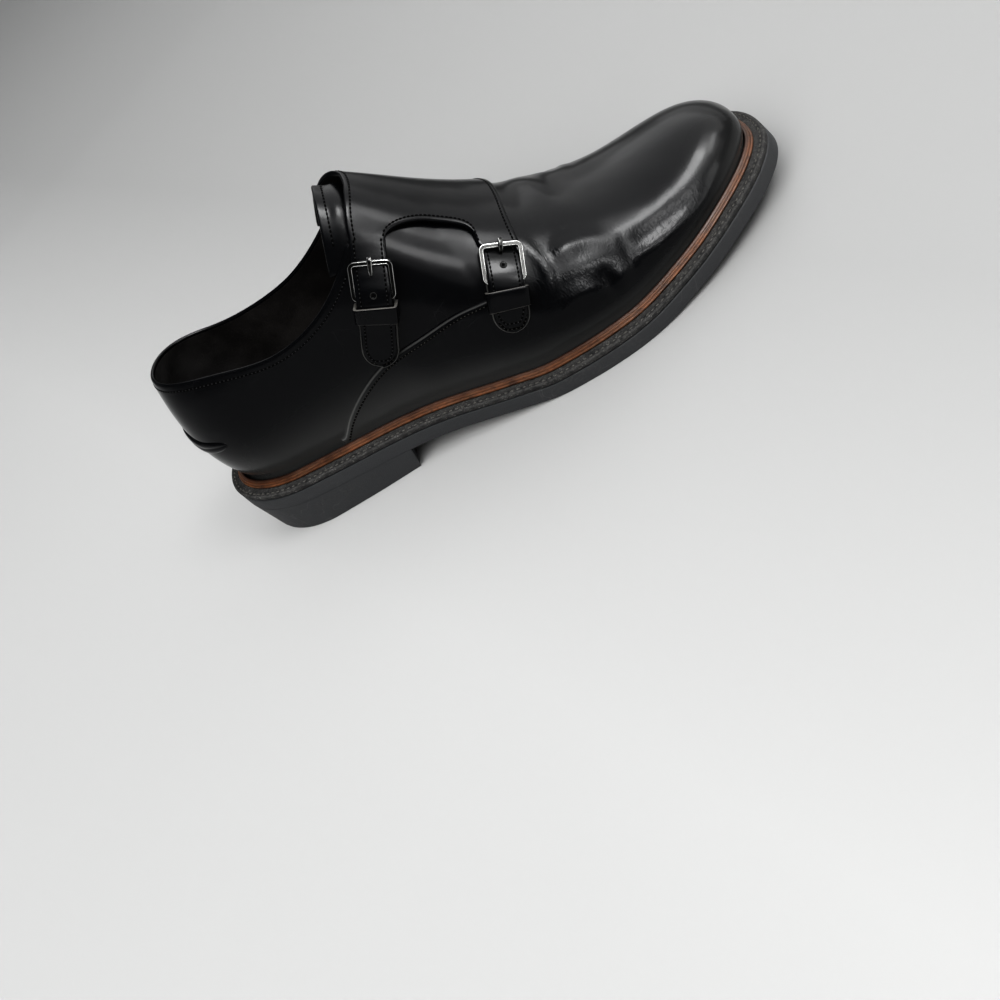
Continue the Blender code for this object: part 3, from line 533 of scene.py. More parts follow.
def sheet(name, inner, outer, faces, mats, nodes=(), bulge=None, rings=5, marks=None):
    """Leather with a rounded edge: two faces joined by a swelling wall along every open edge.

    mats are the face's, the edge's and the back's."""
    bulge = settings().leather.edge * 1000 if bulge is None else bulge
    count = len(inner)
    edges = {}
    for face in faces:
        centre = outer[face].mean(0)
        for a, b in zip(face, face[1:] + face[:1]):
            if (b, a) in edges:
                del edges[(b, a)]
            else:
                edges[(a, b)] = centre
    rim = sorted({k for pair in edges for k in pair})
    slot_of = {k: i for i, k in enumerate(rim)}
    out = np.zeros((len(rim), 3))
    for (a, b), centre in edges.items():
        way = np.cross(outer[b] - outer[a], (outer - inner)[a] + (outer - inner)[b])
        length = np.linalg.norm(way)
        if length < 1e-12:
            continue
        way = way / length * (1 if way @ ((outer[a] + outer[b]) / 2 - centre) > 0 else -1)
        out[slot_of[a]] += way
        out[slot_of[b]] += way
    out = unit(out)
    middle, half = (outer[rim] + inner[rim]) / 2, (outer[rim] - inner[rim]) / 2
    points = [inner, outer]
    for k in range(1, rings + 1):
        turn = np.pi * k / (rings + 1)
        points.append(middle - half * np.cos(turn) + out * bulge * np.sin(turn))
    stacks = [lambda k: k]
    for k in range(rings):
        stacks.append(lambda n, k=k: 2 * count + k * len(rim) + slot_of[n])
    stacks.append(lambda k: k + count)
    walls = []
    for a, b in edges:
        for low, high in zip(stacks, stacks[1:]):
            walls.append([low(a), low(b), high(b), high(a)])
    back = [[k + count for k in face] for face in faces]
    kinds = [2] * len(faces) + [0] * len(back) + [1] * len(walls)
    extra = {}
    for key, values in (marks or {}).items():
        extra[key] = np.concatenate([values, values] + [np.asarray(values)[rim]] * rings)
    return piece(name, np.concatenate(points), list(faces) + back + walls, mats, "leather", nodes,
                 marks=extra, kinds=kinds)


def panel(name, u, v, low, high, mats, nodes=(), bulge=None, rings=5):
    """A sheet of leather cut from the last between two depths."""
    inner, outer = (skin(u, v, depth).reshape(-1, 3) for depth in (low, high))
    return sheet(name, inner, outer, grid(*u.shape), mats, nodes, bulge, rings)


def ladder(points, first, closed_end=True):
    """Faces that fill a loop of the sole, from one side to the other."""
    count = 2 * points - 2 if closed_end else 2 * points - 1
    faces = []
    for i in range(points - 1):
        rung = [i, i + 1, count - i - 1, (count - i) % count]
        faces.append([first + k for k in dict.fromkeys(rung)])
    return faces


def ring_faces(loops, count, closed=False):
    """Faces between closed loops of count points each."""
    faces = []
    for k in range(loops if closed else loops - 1):
        a, b = k * count, (k + 1) % loops * count
        for i in range(count):
            j = (i + 1) % count
            faces.append([a + i, a + j, b + j, b + i])
    return faces


def stack(name, loops, mat, slot, nodes, closed_end=True):
    """A solid of loops laid on one another, filled at its foot and its top."""
    count = len(loops[0])
    points = count // 2 + 1
    faces = ladder(points, 0, closed_end) + ladder(points, count * (len(loops) - 1), closed_end)
    faces += ring_faces(len(loops), count)
    return piece(name, np.concatenate(loops), faces, [mat], slot, nodes, sharp=35)


def sweep(path, frames, section, closed=False):
    """A section carried along a path; frames give its two axes at each point."""
    first, second = frames
    points = path[:, None] + section[None, :, :1] * first[:, None] + section[None, :, 1:] * second[:, None]
    count, sides = len(path), len(section)
    faces = ring_faces(count, sides, closed)
    if not closed:
        faces.append(list(range(sides)))
        faces.append([(count - 1) * sides + k for k in range(sides)])
    return points.reshape(-1, 3), faces


def along_row(points, normals, at, reach=0.5):
    """Places, normals and directions at distances along a row."""
    run = np.concatenate([[0], np.cumsum(np.linalg.norm(np.diff(points, axis=0), axis=1))])
    at = at * run[-1]

    def read(line, step=0.0):
        return np.stack([np.interp(at + step, run, line[:, k]) for k in range(3)], 1)
    return read(points), unit(read(normals)), unit(read(points, reach) - read(points, -reach))


def rings(count, centres, across, up, wide, sides=6):
    """Closed little bodies: rings of points round many centres, capped at both ends."""
    turn = np.linspace(0, 2 * np.pi, sides, endpoint=False)
    verts = np.stack([c[:, None] + across[:, None] * (w * np.cos(turn))[None, :, None]
                      + up[:, None] * (THREAD_FLAT * w * np.sin(turn))[None, :, None]
                      for c, w in zip(centres, wide)], 1)
    size = len(wide) * sides
    body = ring_faces(len(wide), sides) + [list(range(sides)), list(range(size - sides, size))]
    return verts.reshape(-1, 3), [[n * size + k for k in face] for n in range(count) for face in body]


THREAD_FLAT = 0.8                     # a thread's height to its width
PIT_LENGTH, PIT_WIDTH = 1.9, 2.0      # a needle hole's length to its width, and its width to the thread's
# along in lengths of the stitch, thick and high in radii of the thread
STITCH = table("along thick high", (-0.5, 0.45, -0.7), (-0.36, 0.95, 0.25), (0.0, 1.0, 0.5),
               (0.36, 0.95, 0.25), (0.5, 0.45, -0.7))
PIT = table("wide high", (0.5, -0.2), (1.0, 0.1), (0.7, 0.14))     # in holes' widths, and in millimetres


def stitch_row(points, normals, pitch, length, radius, pits=None):
    """Short threads along a line that dive into the leather at both ends; pits gets dark blobs at the needle
    holes, painted as their shade.
    """
    total = np.linalg.norm(np.diff(points, axis=0), axis=1).sum()
    count = max(1, int(total / pitch))
    here, up, aim = along_row(points, normals, (np.arange(count) + 0.5) / count, 0.3 * length)
    centres = [here + aim * a + up * h for a, h in zip(STITCH["along"] * length, STITCH["high"] * radius)]
    row = rings(count, centres, np.cross(aim, up), up, STITCH["thick"] * radius)
    if pits is not None:
        # the holes are not cut: flattened dark blobs a little proud of the leather are painted as their shade
        here, up, aim = along_row(points, normals, np.arange(count + 1) / count)
        flat = [here + up * high for high in PIT["high"]]
        wide = PIT["wide"] * radius * PIT_WIDTH
        pits.append(rings(count + 1, flat, np.cross(aim, up), aim * PIT_LENGTH, wide, sides=8))
    return row


def merge(parts):
    """Several meshes' points and faces as one."""
    points, faces, first = [], [], 0
    for some, some_faces in parts:
        points.append(some)
        faces += [[k + first for k in face] for face in some_faces]
        first += len(some)
    return np.concatenate(points), faces


def dense(u, v, count):
    """A line of u and v read at many places, with the way it runs."""
    u, v = np.asarray(u, float), np.asarray(v, float)
    key = np.concatenate([[0], np.cumsum(np.hypot(np.diff(u), np.diff(v) * 110))])
    t = np.linspace(0, key[-1], count)
    u, v = np.interp(t, key, u), np.interp(t, key, v)
    return u, v, np.gradient(last(u, v), axis=0)


# ---------------------------------------------------------------- materials
def feed(tree, socket, value):
    """Links a socket to another one, or sets it to a constant."""
    if isinstance(value, bpy.types.NodeSocket):
        tree.links.new(value, socket)
    else:
        socket.default_value = value


def new_node(tree, kind, inputs=None, **options):
    node = tree.nodes.new(kind)
    for key, value in options.items():
        setattr(node, key, value)
    for key, value in (inputs or {}).items():
        feed(tree, node.inputs[key], value)
    return node


def noise(tree, where, scale, detail=3.0, rough=0.55, stretch=None):
    if stretch:
        where = new_node(tree, "ShaderNodeMapping", {"Vector": where, "Scale": stretch}).outputs[0]
    return new_node(tree, "ShaderNodeTexNoise", {"Vector": where, "Scale": scale, "Detail": detail,
                                                 "Roughness": rough}).outputs[0]


def math(tree, operation, first, second=0.0, third=None):
    node = new_node(tree, "ShaderNodeMath", operation=operation)
    for socket, value in zip(node.inputs, (first, second) if third is None else (first, second, third)):
        feed(tree, socket, value)
    return node.outputs[0]


def ramp(tree, value, low, high, out_low=0.0, out_high=1.0):
    return new_node(tree, "ShaderNodeMapRange", {"Value": value, "From Min": low, "From Max": high,
                                                 "To Min": out_low, "To Max": out_high}).outputs[0]


def blend(tree, share, first, second):
    """Two colours mixed, each a socket or a constant."""
    node = new_node(tree, "ShaderNodeMix", data_type="RGBA")
    feed(tree, node.inputs[0], share)
    for socket, colour in ((node.inputs[6], first), (node.inputs[7], second)):
        feed(tree, socket, colour if isinstance(colour, bpy.types.NodeSocket) else (*colour, 1))
    return node.outputs[2]


def shade(colour, amount):
    """A colour made darker or lighter."""
    return [channel * amount for channel in colour]


def mark(tree, name):
    """What a piece's points say under this name, 0 where they say nothing."""
    return new_node(tree, "ShaderNodeAttribute", attribute_name=name).outputs["Fac"]


def effect(name, inputs, outputs):
    """An empty shader group with its named sockets; its ends are None when it is made already."""
    group = bpy.data.node_groups.get(name)
    if group:
        return group, None, None
    group = bpy.data.node_groups.new(name, "ShaderNodeTree")
    for label, kind, value in inputs:
        socket = group.interface.new_socket(label, in_out="INPUT", socket_type=kind)
        if value is not None:
            socket.default_value = value
    for label, kind in outputs:
        group.interface.new_socket(label, in_out="OUTPUT", socket_type=kind)
    return group, group.nodes.new("NodeGroupInput"), group.nodes.new("NodeGroupOutput")


def grain_group():
    """Leather's surface: pores, slow waviness, and fine slanting wrinkles where it flexes."""
    group, inlet, outlet = effect("Leather Grain", [
        ("Vector", "NodeSocketVector", None), ("Pore Scale", "NodeSocketFloat", 1500.0),
        ("Pore Share", "NodeSocketFloat", 0.1), ("Wave Scale", "NodeSocketFloat", 70.0),
        ("Wave Share", "NodeSocketFloat", 1.0), ("Flex", "NodeSocketFloat", 0.0)],
        [("Height", "NodeSocketFloat"), ("Dull", "NodeSocketFloat")])
    if inlet:
        where = inlet.outputs["Vector"]
        pores = new_node(group, "ShaderNodeTexNoise", {"Vector": where, "Scale": inlet.outputs["Pore Scale"],
                                                       "Detail": 2.0}).outputs[0]
        waves = new_node(group, "ShaderNodeTexNoise", {"Vector": where, "Scale": inlet.outputs["Wave Scale"],
                                                       "Detail": 1.5, "Roughness": 0.35}).outputs[0]
        slant = new_node(group, "ShaderNodeMapping", {"Vector": where, "Rotation": (0.3, 0.5, 0.9),
                                                      "Scale": (1.0, 0.22, 0.6)}).outputs[0]
        lines = new_node(group, "ShaderNodeTexNoise", {"Vector": slant, "Scale": 620.0, "Detail": 2.5,
                                                       "Distortion": 0.6}).outputs[0]
        wrinkles = math(group, "ABSOLUTE", math(group, "SUBTRACT", lines, 0.5))
        wrinkles = math(group, "MULTIPLY", wrinkles, inlet.outputs["Flex"])
        height = math(group, "MULTIPLY_ADD", pores, inlet.outputs["Pore Share"],
                      math(group, "MULTIPLY", waves, inlet.outputs["Wave Share"]))
        feed(group, outlet.inputs["Height"], math(group, "MULTIPLY_ADD", wrinkles, 0.9, height))
        haze = ramp(group, noise(group, where, 42.0, 5.0, 0.65), 0.35, 0.7)
        feed(group, outlet.inputs["Dull"], math(group, "MULTIPLY_ADD", wrinkles, 0.6, haze))
    return group


def scuff_group():
    """Thin scratches and rubbed specks, as a mask."""
    group, inlet, outlet = effect("Scuffs", [
        ("Vector", "NodeSocketVector", None), ("Scale", "NodeSocketFloat", 60.0),
        ("Amount", "NodeSocketFloat", 0.5)], [("Mask", "NodeSocketFloat")])
    if inlet:
        where = inlet.outputs["Vector"]
        specks = ramp(group, noise(group, where, 900.0, 2.0), 0.70, 0.76)
        patch = ramp(group, noise(group, where, 28.0), 0.55, 0.7)
        mask = math(group, "MULTIPLY", math(group, "MULTIPLY", specks, patch), 0.6)
        broken = ramp(group, noise(group, where, 35.0), 0.52, 0.62)
        for turn, stretch in (((0.2, 0.5, 0.4), (1.0, 0.05, 1.0)), ((1.1, -0.4, 1.5), (0.07, 1.0, 0.4))):
            slant = new_node(group, "ShaderNodeMapping", {"Vector": where, "Rotation": turn,
                                                          "Scale": stretch}).outputs[0]
            line = new_node(group, "ShaderNodeTexNoise", {"Vector": slant, "Scale": inlet.outputs["Scale"],
                                                          "Detail": 1.0}).outputs[0]
            line = ramp(group, math(group, "ABSOLUTE", math(group, "SUBTRACT", line, 0.5)), 0.006, 0.0)
            mask = math(group, "MAXIMUM", mask, math(group, "MULTIPLY", line, broken))
        feed(group, outlet.inputs["Mask"], math(group, "MULTIPLY", mask, inlet.outputs["Amount"]))
    return group


def placed(tree, group, inputs):
    """A shared effect, put in a material with that material's values."""
    return new_node(tree, "ShaderNodeGroup", inputs, node_tree=group)


def new_material(name):
    """A material's tree, its shader and its object coordinates; None when it is made already."""
    mat = bpy.data.materials.get(name)
    if mat:
        return mat, None, None, None
    mat = bpy.data.materials.new(name)
    mat.use_nodes = True
    tree = mat.node_tree
    shader = tree.nodes["Principled BSDF"]
    where = new_node(tree, "ShaderNodeTexCoord").outputs["Object"]
    return mat, tree, shader, where


def set_looks(tree, shader, looks, height, distance):
    """Feeds the shader's sockets, and its normal from a bump of this height over this distance."""
    bump = new_node(tree, "ShaderNodeBump", {"Height": height, "Distance": distance, "Strength": 1.0})
    for key, value in {**looks, "Normal": bump.outputs[0]}.items():
        feed(tree, shader.inputs[key], value)
    return bump.outputs[0]


def leather(name, colour, roughness, pore=0.06, wave=1.0, distance=0.00028, scuffs=0.05, wave_scale=70.0):
    """Polished black leather: deep colour under a glassy finish, greyed where a painted sheen is marked."""
    mat, tree, shader, where = new_material(name)
    if tree:
        grain = placed(tree, grain_group(), {"Vector": where, "Pore Share": pore, "Wave Share": wave,
                                             "Wave Scale": wave_scale, "Flex": mark(tree, "flex")}).outputs
        scuff = placed(tree, scuff_group(), {"Vector": where, "Amount": scuffs}).outputs[0]
        worn = blend(tree, scuff, colour, (0.09, 0.09, 0.09))
        # painted sheen: the colour is greyed for the floor's reflection low on the upper and a highlight
        # along the vamp's cut edge
        worn = blend(tree, mark(tree, "painted_sheen"), worn, (0.30, 0.30, 0.29))
        rough = math(tree, "MULTIPLY_ADD", grain["Dull"], 0.07, roughness)
        rough = math(tree, "MULTIPLY_ADD", scuff, 0.25, rough)
        normal = set_looks(tree, shader, {"Base Color": worn, "Roughness": rough, "IOR": 1.25,
                                          "Coat Weight": 0.35, "Coat Roughness": 0.12, "Coat IOR": 1.25},
                           grain["Height"], distance)
        feed(tree, shader.inputs["Coat Normal"], normal)
    return mat


def lining(name, colour):
    """Matt leather without a finish: linings, the sock, and cut edges whose pale colour is partly a painted
    highlight.
    """
    mat, tree, shader, where = new_material(name)
    if tree:
        cloud = noise(tree, where, 60.0, 5.0)
        tone = blend(tree, ramp(tree, cloud, 0.4, 0.65), colour, shade(colour, 1.9))
        set_looks(tree, shader, {"Base Color": tone, "Roughness": ramp(tree, cloud, 0.3, 0.7, 0.5, 0.75)},
                  noise(tree, where, 1400.0, 3.0), 0.00015)
    return mat


def rubber(name, colour, roughness):
    """The sole's edge and heel: matt, rubbed and dusty."""
    mat, tree, shader, where = new_material(name)
    if tree:
        cloud = noise(tree, where, 45.0, 6.0, 0.65)
        dust = math(tree, "MULTIPLY", ramp(tree, cloud, 0.5, 0.75),
                    ramp(tree, noise(tree, where, 700.0, 3.0), 0.45, 0.7))
        scuff = placed(tree, scuff_group(), {"Vector": where, "Scale": 95.0, "Amount": 0.22}).outputs[0]
        tone = blend(tree, math(tree, "MULTIPLY", dust, 0.45), colour, (0.10, 0.097, 0.09))
        tone = blend(tree, scuff, tone, (0.16, 0.155, 0.15))
        height = math(tree, "MULTIPLY_ADD", noise(tree, where, 260.0, 4.0), 0.6,
                      noise(tree, where, 1800.0, 2.0))
        rough = ramp(tree, cloud, 0.3, 0.7, roughness - 0.1, roughness + 0.12)
        set_looks(tree, shader, {"Base Color": tone, "Roughness": rough}, height, 0.00012)
    return mat


def welt_finish(name):
    """Rough-cut welt: dark, fuzzy, with pale flecks of fibre, paler where it is rubbed over its top, and
    along its outer edge as a painted highlight.
    """
    mat, tree, shader, where = new_material(name)
    if tree:
        fibre = noise(tree, where, 1500.0, 4.0, 0.7)
        cloud = noise(tree, where, 300.0, 4.0, 0.65)
        fleck = math(tree, "MULTIPLY", ramp(tree, fibre, 0.56, 0.68), ramp(tree, cloud, 0.42, 0.6))
        # paler where marked: rub wear over the welt's top, and a painted highlight along its outer edge
        rub_and_highlight = math(tree, "MULTIPLY", mark(tree, "rubbed"),
                      ramp(tree, noise(tree, where, 700.0, 4.0, 0.7), 0.40, 0.56))
        tone = blend(tree, ramp(tree, cloud, 0.35, 0.65), (0.010, 0.010, 0.010), (0.035, 0.034, 0.033))
        tone = blend(tree, math(tree, "MULTIPLY", rub_and_highlight, 0.6), tone, (0.075, 0.073, 0.070))
        tone = blend(tree, math(tree, "MULTIPLY", fleck, 0.9), tone, (0.24, 0.235, 0.22))
        set_looks(tree, shader, {"Base Color": tone, "Roughness": 0.85},
                  math(tree, "MULTIPLY_ADD", fibre, 0.8, cloud), 0.0005)
    return mat


def rand_finish(name, colour):
    """The orange-brown bead between upper and welt, with random stains, and painted shade darkening it
    towards the upper, at its foot and in its grooves.
    """
    mat, tree, shader, where = new_material(name)
    if tree:
        cloud = noise(tree, where, 110.0, 5.0, 0.65)
        streak = noise(tree, where, 420.0, 3.0, 0.6, stretch=(0.25, 0.6, 2.2))
        stain = ramp(tree, noise(tree, where, 230.0, 5.0, 0.7), 0.50, 0.66)
        # random stains, and painted shade where the profile's dark mark says
        stain_and_shade = math(tree, "MAXIMUM", math(tree, "MULTIPLY", stain, 0.75),
                    math(tree, "MULTIPLY", mark(tree, "dark"), 0.9))
        tone = blend(tree, ramp(tree, cloud, 0.35, 0.65), shade(colour, 0.5), shade(colour, 1.25))
        tone = blend(tree, ramp(tree, streak, 0.5, 0.7, 0.0, 0.3), tone, (0.19, 0.11, 0.060))
        tone = blend(tree, stain_and_shade, tone, (0.016, 0.006, 0.004))
        set_looks(tree, shader, {"Base Color": tone, "Roughness": ramp(tree, cloud, 0.3, 0.7, 0.35, 0.6)},
                  noise(tree, where, 900.0, 3.0), 0.0002)
    return mat


def thread(name, colour, roughness=0.6):
    """Twisted thread; darker, the same finish is the painted shade in small holes, and paler, the rubbed and
    painted-highlit ring round a strap hole.
    """
    mat, tree, shader, where = new_material(name)
    if tree:
        twist = noise(tree, where, 2600.0, 2.0)
        tone = blend(tree, ramp(tree, twist, 0.35, 0.65), shade(colour, 0.5), colour)
        set_looks(tree, shader, {"Base Color": tone, "Roughness": roughness, "Specular IOR Level": 0.08},
                  twist, 0.0001)
    return mat


def chrome(name, colour, roughness):
    """Bright plated metal, scratched, and painted nearly black along its channels as a dark reflection."""
    mat, tree, shader, where = new_material(name)
    if tree:
        cloud = noise(tree, where, 240.0, 5.0, 0.6)
        scuff = placed(tree, scuff_group(), {"Vector": where, "Scale": 300.0, "Amount": 0.5}).outputs[0]
        tone = blend(tree, ramp(tree, cloud, 0.4, 0.7), colour, shade(colour, 0.75))
        # painted reflection: the marked channels are darkened to stand for the dark band the bars reflect
        tone = blend(tree, math(tree, "MULTIPLY", mark(tree, "painted_dark_band"), 0.95), tone, shade(colour, 0.02))
        rough = math(tree, "MULTIPLY_ADD", scuff, 0.3,
                     ramp(tree, cloud, 0.3, 0.7, roughness, roughness + 0.1))
        set_looks(tree, shader, {"Base Color": tone, "Roughness": rough, "Metallic": 1.0},
                  noise(tree, where, 500.0, 2.0), 0.00005)
    return mat


# ---------------------------------------------------------------- what a user may change
class LeatherSettings(bpy.types.PropertyGroup):
    colour: bpy.props.FloatVectorProperty(name="Leather", description="Colour of the leather",
                                          subtype="COLOR", size=3, min=0, max=1,
                                          default=(0.0025, 0.0027, 0.0034))
    lining: bpy.props.FloatVectorProperty(name="Lining", description="Colour of the lining", subtype="COLOR",
                                          size=3, min=0, max=1, default=(0.009, 0.008, 0.0075))
    # the keepers' pale edge is partly their cut edge's own colour, partly a painted highlight
    cut_edge: bpy.props.FloatVectorProperty(name="Cut edge", description="Colour of the keepers' cut edge",
                                            subtype="COLOR", size=3, min=0, max=1,
                                            default=(0.075, 0.072, 0.066))
    roughness: bpy.props.FloatProperty(name="Roughness", description="Roughness of the leather's finish",
                                       min=0.02, max=1, default=0.2, subtype="FACTOR")
    folds: bpy.props.FloatProperty(name="Folds", description="Share of the worn folds over the toes",
                                   min=0, max=1.5, default=1.0, subtype="FACTOR")
    edge: bpy.props.FloatProperty(name="Edge", description="How far a leather edge swells out", unit="LENGTH",
                                  min=0.0001, max=0.002, default=0.0006)
    roll: bpy.props.FloatProperty(name="Topline roll", description="How far the topline rolls over",
                                  unit="LENGTH", min=0.0001, max=0.003, default=0.0013)


class ThreadSettings(bpy.types.PropertyGroup):
    # the upper's and the seam's thread are grey, not black: partly their own colour, partly painted sheen
    dark: bpy.props.FloatVectorProperty(name="Upper thread", description="Colour of the thread in the upper",
                                        subtype="COLOR", size=3, min=0, max=1, default=(0.045, 0.045, 0.046))
    pale: bpy.props.FloatVectorProperty(name="Seam thread", description="Colour of the vamp seam's thread",
                                        subtype="COLOR", size=3, min=0, max=1, default=(0.07, 0.068, 0.062))
    welt: bpy.props.FloatVectorProperty(name="Welt thread", description="Colour of the thread in the welt",
                                        subtype="COLOR", size=3, min=0, max=1, default=(0.15, 0.146, 0.135))
    thickness: bpy.props.FloatProperty(name="Thickness", description="Thickness of the upper's thread",
                                       unit="LENGTH", min=0.0002, max=0.001, default=0.00046)
    pitch: bpy.props.FloatProperty(name="Pitch", description="Distance from stitch to stitch in the upper",
                                   unit="LENGTH", min=0.001, max=0.005, default=0.0018)
    welt_pitch: bpy.props.FloatProperty(name="Welt pitch", unit="LENGTH", min=0.002, max=0.006, default=0.003,
                                        description="Distance from stitch to stitch in the welt")


class MetalSettings(bpy.types.PropertyGroup):
    colour: bpy.props.FloatVectorProperty(name="Metal", description="Colour of the buckles", subtype="COLOR",
                                          size=3, min=0, max=1, default=(0.50, 0.50, 0.49))
    width: bpy.props.FloatProperty(name="Bar width", description="Width of the frame's bars", unit="LENGTH",
                                   min=0.001, max=0.004, default=0.0019)
    depth: bpy.props.FloatProperty(name="Bar depth", description="Depth of the frame's bars", unit="LENGTH",
                                   min=0.001, max=0.004, default=0.0024)


class SoleSettings(bpy.types.PropertyGroup):
    colour: bpy.props.FloatVectorProperty(name="Sole", description="Colour of sole and heel", subtype="COLOR",
                                          size=3, min=0, max=1, default=(0.034, 0.035, 0.037))
    rand: bpy.props.FloatVectorProperty(name="Rand", description="Colour of the rand", subtype="COLOR",
                                        size=3, min=0, max=1, default=(0.125, 0.050, 0.020))
    sock: bpy.props.FloatVectorProperty(name="Sock", description="Colour of the sock lining", subtype="COLOR",
                                        size=3, min=0, max=1, default=(0.008, 0.007, 0.0065))
    round_edge: bpy.props.FloatProperty(name="Edge", description="Rounding of the sole's edges",
                                        unit="LENGTH", min=0.0001, max=0.002, default=0.0006)


class StageSettings(bpy.types.PropertyGroup):
    floor: bpy.props.FloatVectorProperty(name="Floor", description="Colour of the floor", subtype="COLOR",
                                         size=3, min=0, max=1, default=(0.50, 0.50, 0.496))
    light: bpy.props.FloatProperty(name="Light", description="Brightness of all softboxes", min=0, max=10,
                                   default=1.0)
    sky: bpy.props.FloatProperty(name="Sky", description="Strength of the surrounding light", min=0, max=5,
                                 default=0.15)


def settings():
    return bpy.context.scene.strap_shoe


class ShoeSettings(bpy.types.PropertyGroup):
    leather: bpy.props.PointerProperty(type=LeatherSettings)
    thread: bpy.props.PointerProperty(type=ThreadSettings)
    metal: bpy.props.PointerProperty(type=MetalSettings)
    sole: bpy.props.PointerProperty(type=SoleSettings)
    stage: bpy.props.PointerProperty(type=StageSettings)


def upper_leather():
    chosen = settings().leather
    return leather("polished_leather", chosen.colour, chosen.roughness)


def strap_leather():
    chosen = settings().leather
    return leather("strap_leather", chosen.colour, chosen.roughness + 0.03, pore=0.1, wave=0.5,
                   distance=0.0002, scuffs=0.06, wave_scale=120.0)


def back_leather():
    return lining("lining_leather", settings().leather.lining)


# near-black matt finish: painted shade in needle holes and strap holes
def hole_shade_paint():
    return thread("painted_hole_shade", (0.002, 0.002, 0.002), 0.9)


def sole_rubber():
    return rubber("matt_sole", settings().sole.colour, 0.62)


# ---------------------------------------------------------------- the upper
def stations():
    """The upper's sections: closer together over the folds and round the heel, the throat and the toe."""
    return np.concatenate([
        np.linspace(U_HEEL, 64, 46), [SEAM_START - 0.3, SEAM_START], np.linspace(67.5, 127, 41),
        COLLAR_END + (THROAT - COLLAR_END) * np.sin(np.linspace(0, np.pi / 2, 22)),
        np.linspace(151.2, 184, 23), np.linspace(185, 232, 58), np.linspace(233.4, U_TOE, 40)])


def upper_section(u, side):
    """Rises, depths and painted sheen of the upper's points over one section, from inside the welt to its
    edge.
    """
    covered = u >= SEAM_START
    line = max(float(seam_v[side](u)) if covered else 0.10 * min(1.0, (SEAM_START - u) / 20), 0.012)
    step = float(lap_at(u))
    near = min(1.0, line / 0.03)          # the rows draw together where the vamp's edge dives to the sole
    edge = collar_v(u, side if u > U_HEEL else -1) if u < THROAT else 1.0
    rises = [-1.0, *((line - 0.012 * near) * np.linspace(0, 1, VAMP_ROWS)),
             line - 0.005 * near, line - 0.001, line + 0.0015, line + 0.008]
    rises += list(line + 0.008 + (edge - line - 0.008) * np.linspace(0, 1, QUARTER_ROWS)[1:])
    depths = [-step] * len(rises)
    if covered:
        depths[:VAMP_ROWS + 3] = [0.0] * (VAMP_ROWS + 1) + [-0.1 * step, -0.4 * step]
    low = np.maximum(rises, 0)
    # painted sheen: a grey floor reflection above the rand and at the toe's foot, and a highlight on the
    # vamp's cut edge
    sheen_paint = 0.14 * np.exp(-(low / (0.075 + 0.03 * smooth((125 - u) / 20))) ** 2)      # above the rand
    sheen_paint += 0.10 * smooth((u - 255) / 18) * np.exp(-(low / 0.35) ** 2)                # at the toe's foot
    sheen_paint[VAMP_ROWS + 2] += 0.2 * step * covered                                       # the vamp's cut edge
    return rises, depths, sheen_paint


def upper_net():
    """u, v, depth and painted sheen of the upper's points, its two sides joined, and its faces."""
    index, points, faces = {}, [], []

    def point(u, v, depth, sheen_paint):
        if u in (U_HEEL, U_TOE):
            v = min(v, 2 - v)
        if u > TOE_AXIS and abs(v - 1) < 1e-9:
            u = TOE_AXIS
        key = (round(u, 4), round(v, 6))
        if key not in index:
            index[key] = len(points)
            points.append((u, v, depth, sheen_paint))
        return index[key]

    for side in (-1, 1):
        columns = []
        for u in stations():
            columns.append([point(u, rise if side < 0 else 2 - rise, depth, sheen_paint)
                            for rise, depth, sheen_paint in zip(*upper_section(u, side))])
        for one, two in zip(columns, columns[1:]):
            for k in range(len(one) - 1):
                face = [one[k], two[k], two[k + 1], one[k + 1]]
                face = list(dict.fromkeys(face if side < 0 else face[::-1]))
                if len(face) > 2:
                    faces.append(face)
    return (*np.array(points).T, faces)


class SHOE_OT_upper(bpy.types.Operator):
    """Vamp and quarters: the lasted skin with its seam step, worn folds, lining and rolled topline"""
    bl_idname = "shoe.upper"
    bl_label = "Upper"

    def execute(self, context):
        chosen = settings().leather
        u, v, depth, painted_sheen, faces = upper_net()
        folds, flex = relief(last(u, v), chosen.folds)
        sheet("vamp_and_quarters", skin(u, v, folds - WALL), skin(u, v, depth + folds), faces,
              [upper_leather(), upper_leather(), back_leather()], ["upper"], bulge=chosen.roll * 1000,
              rings=7, marks={"flex": flex, "painted_sheen": painted_sheen})
        return {"FINISHED"}


class SHOE_OT_heel_stay(bpy.types.Operator):
    """The lip of the stay that covers the back seam, low on the heel"""
    bl_idname = "shoe.heel_stay"
    bl_label = "Heel stay"

    def execute(self, context):
        reach_u, middle, drop, half = 25.0, 0.185, 0.032, 0.024
        s = np.linspace(-1, 1, 61)
        across = np.linspace(-1, 1, 13)[:, None]
        rise = middle + drop * (1 - smooth(np.abs(s) * 1.6))
        rise = rise + across * half * np.sqrt(np.clip(1 - np.abs(s) ** 4, 0.02, 1))
        v = np.where(s < 0, rise, 2 - rise)
        u = np.broadcast_to(U_HEEL + np.abs(s) * (reach_u - U_HEEL), v.shape)
        fade = np.sqrt(np.clip(1 - s ** 6, 0, 1))
        ridges = 0.75 * np.sqrt(np.clip(1 - across ** 2, 0, 1)) - 0.45 * np.exp(-((across - 0.1) / 0.22) ** 2)
        high = -LAP + 0.05 + (0.55 + ridges) * fade
        panel("heel_stay", u, v, np.full(v.shape, -LAP - 0.6), high,
              [upper_leather(), upper_leather(), back_leather()], bulge=0.2, rings=3)
        return {"FINISHED"}


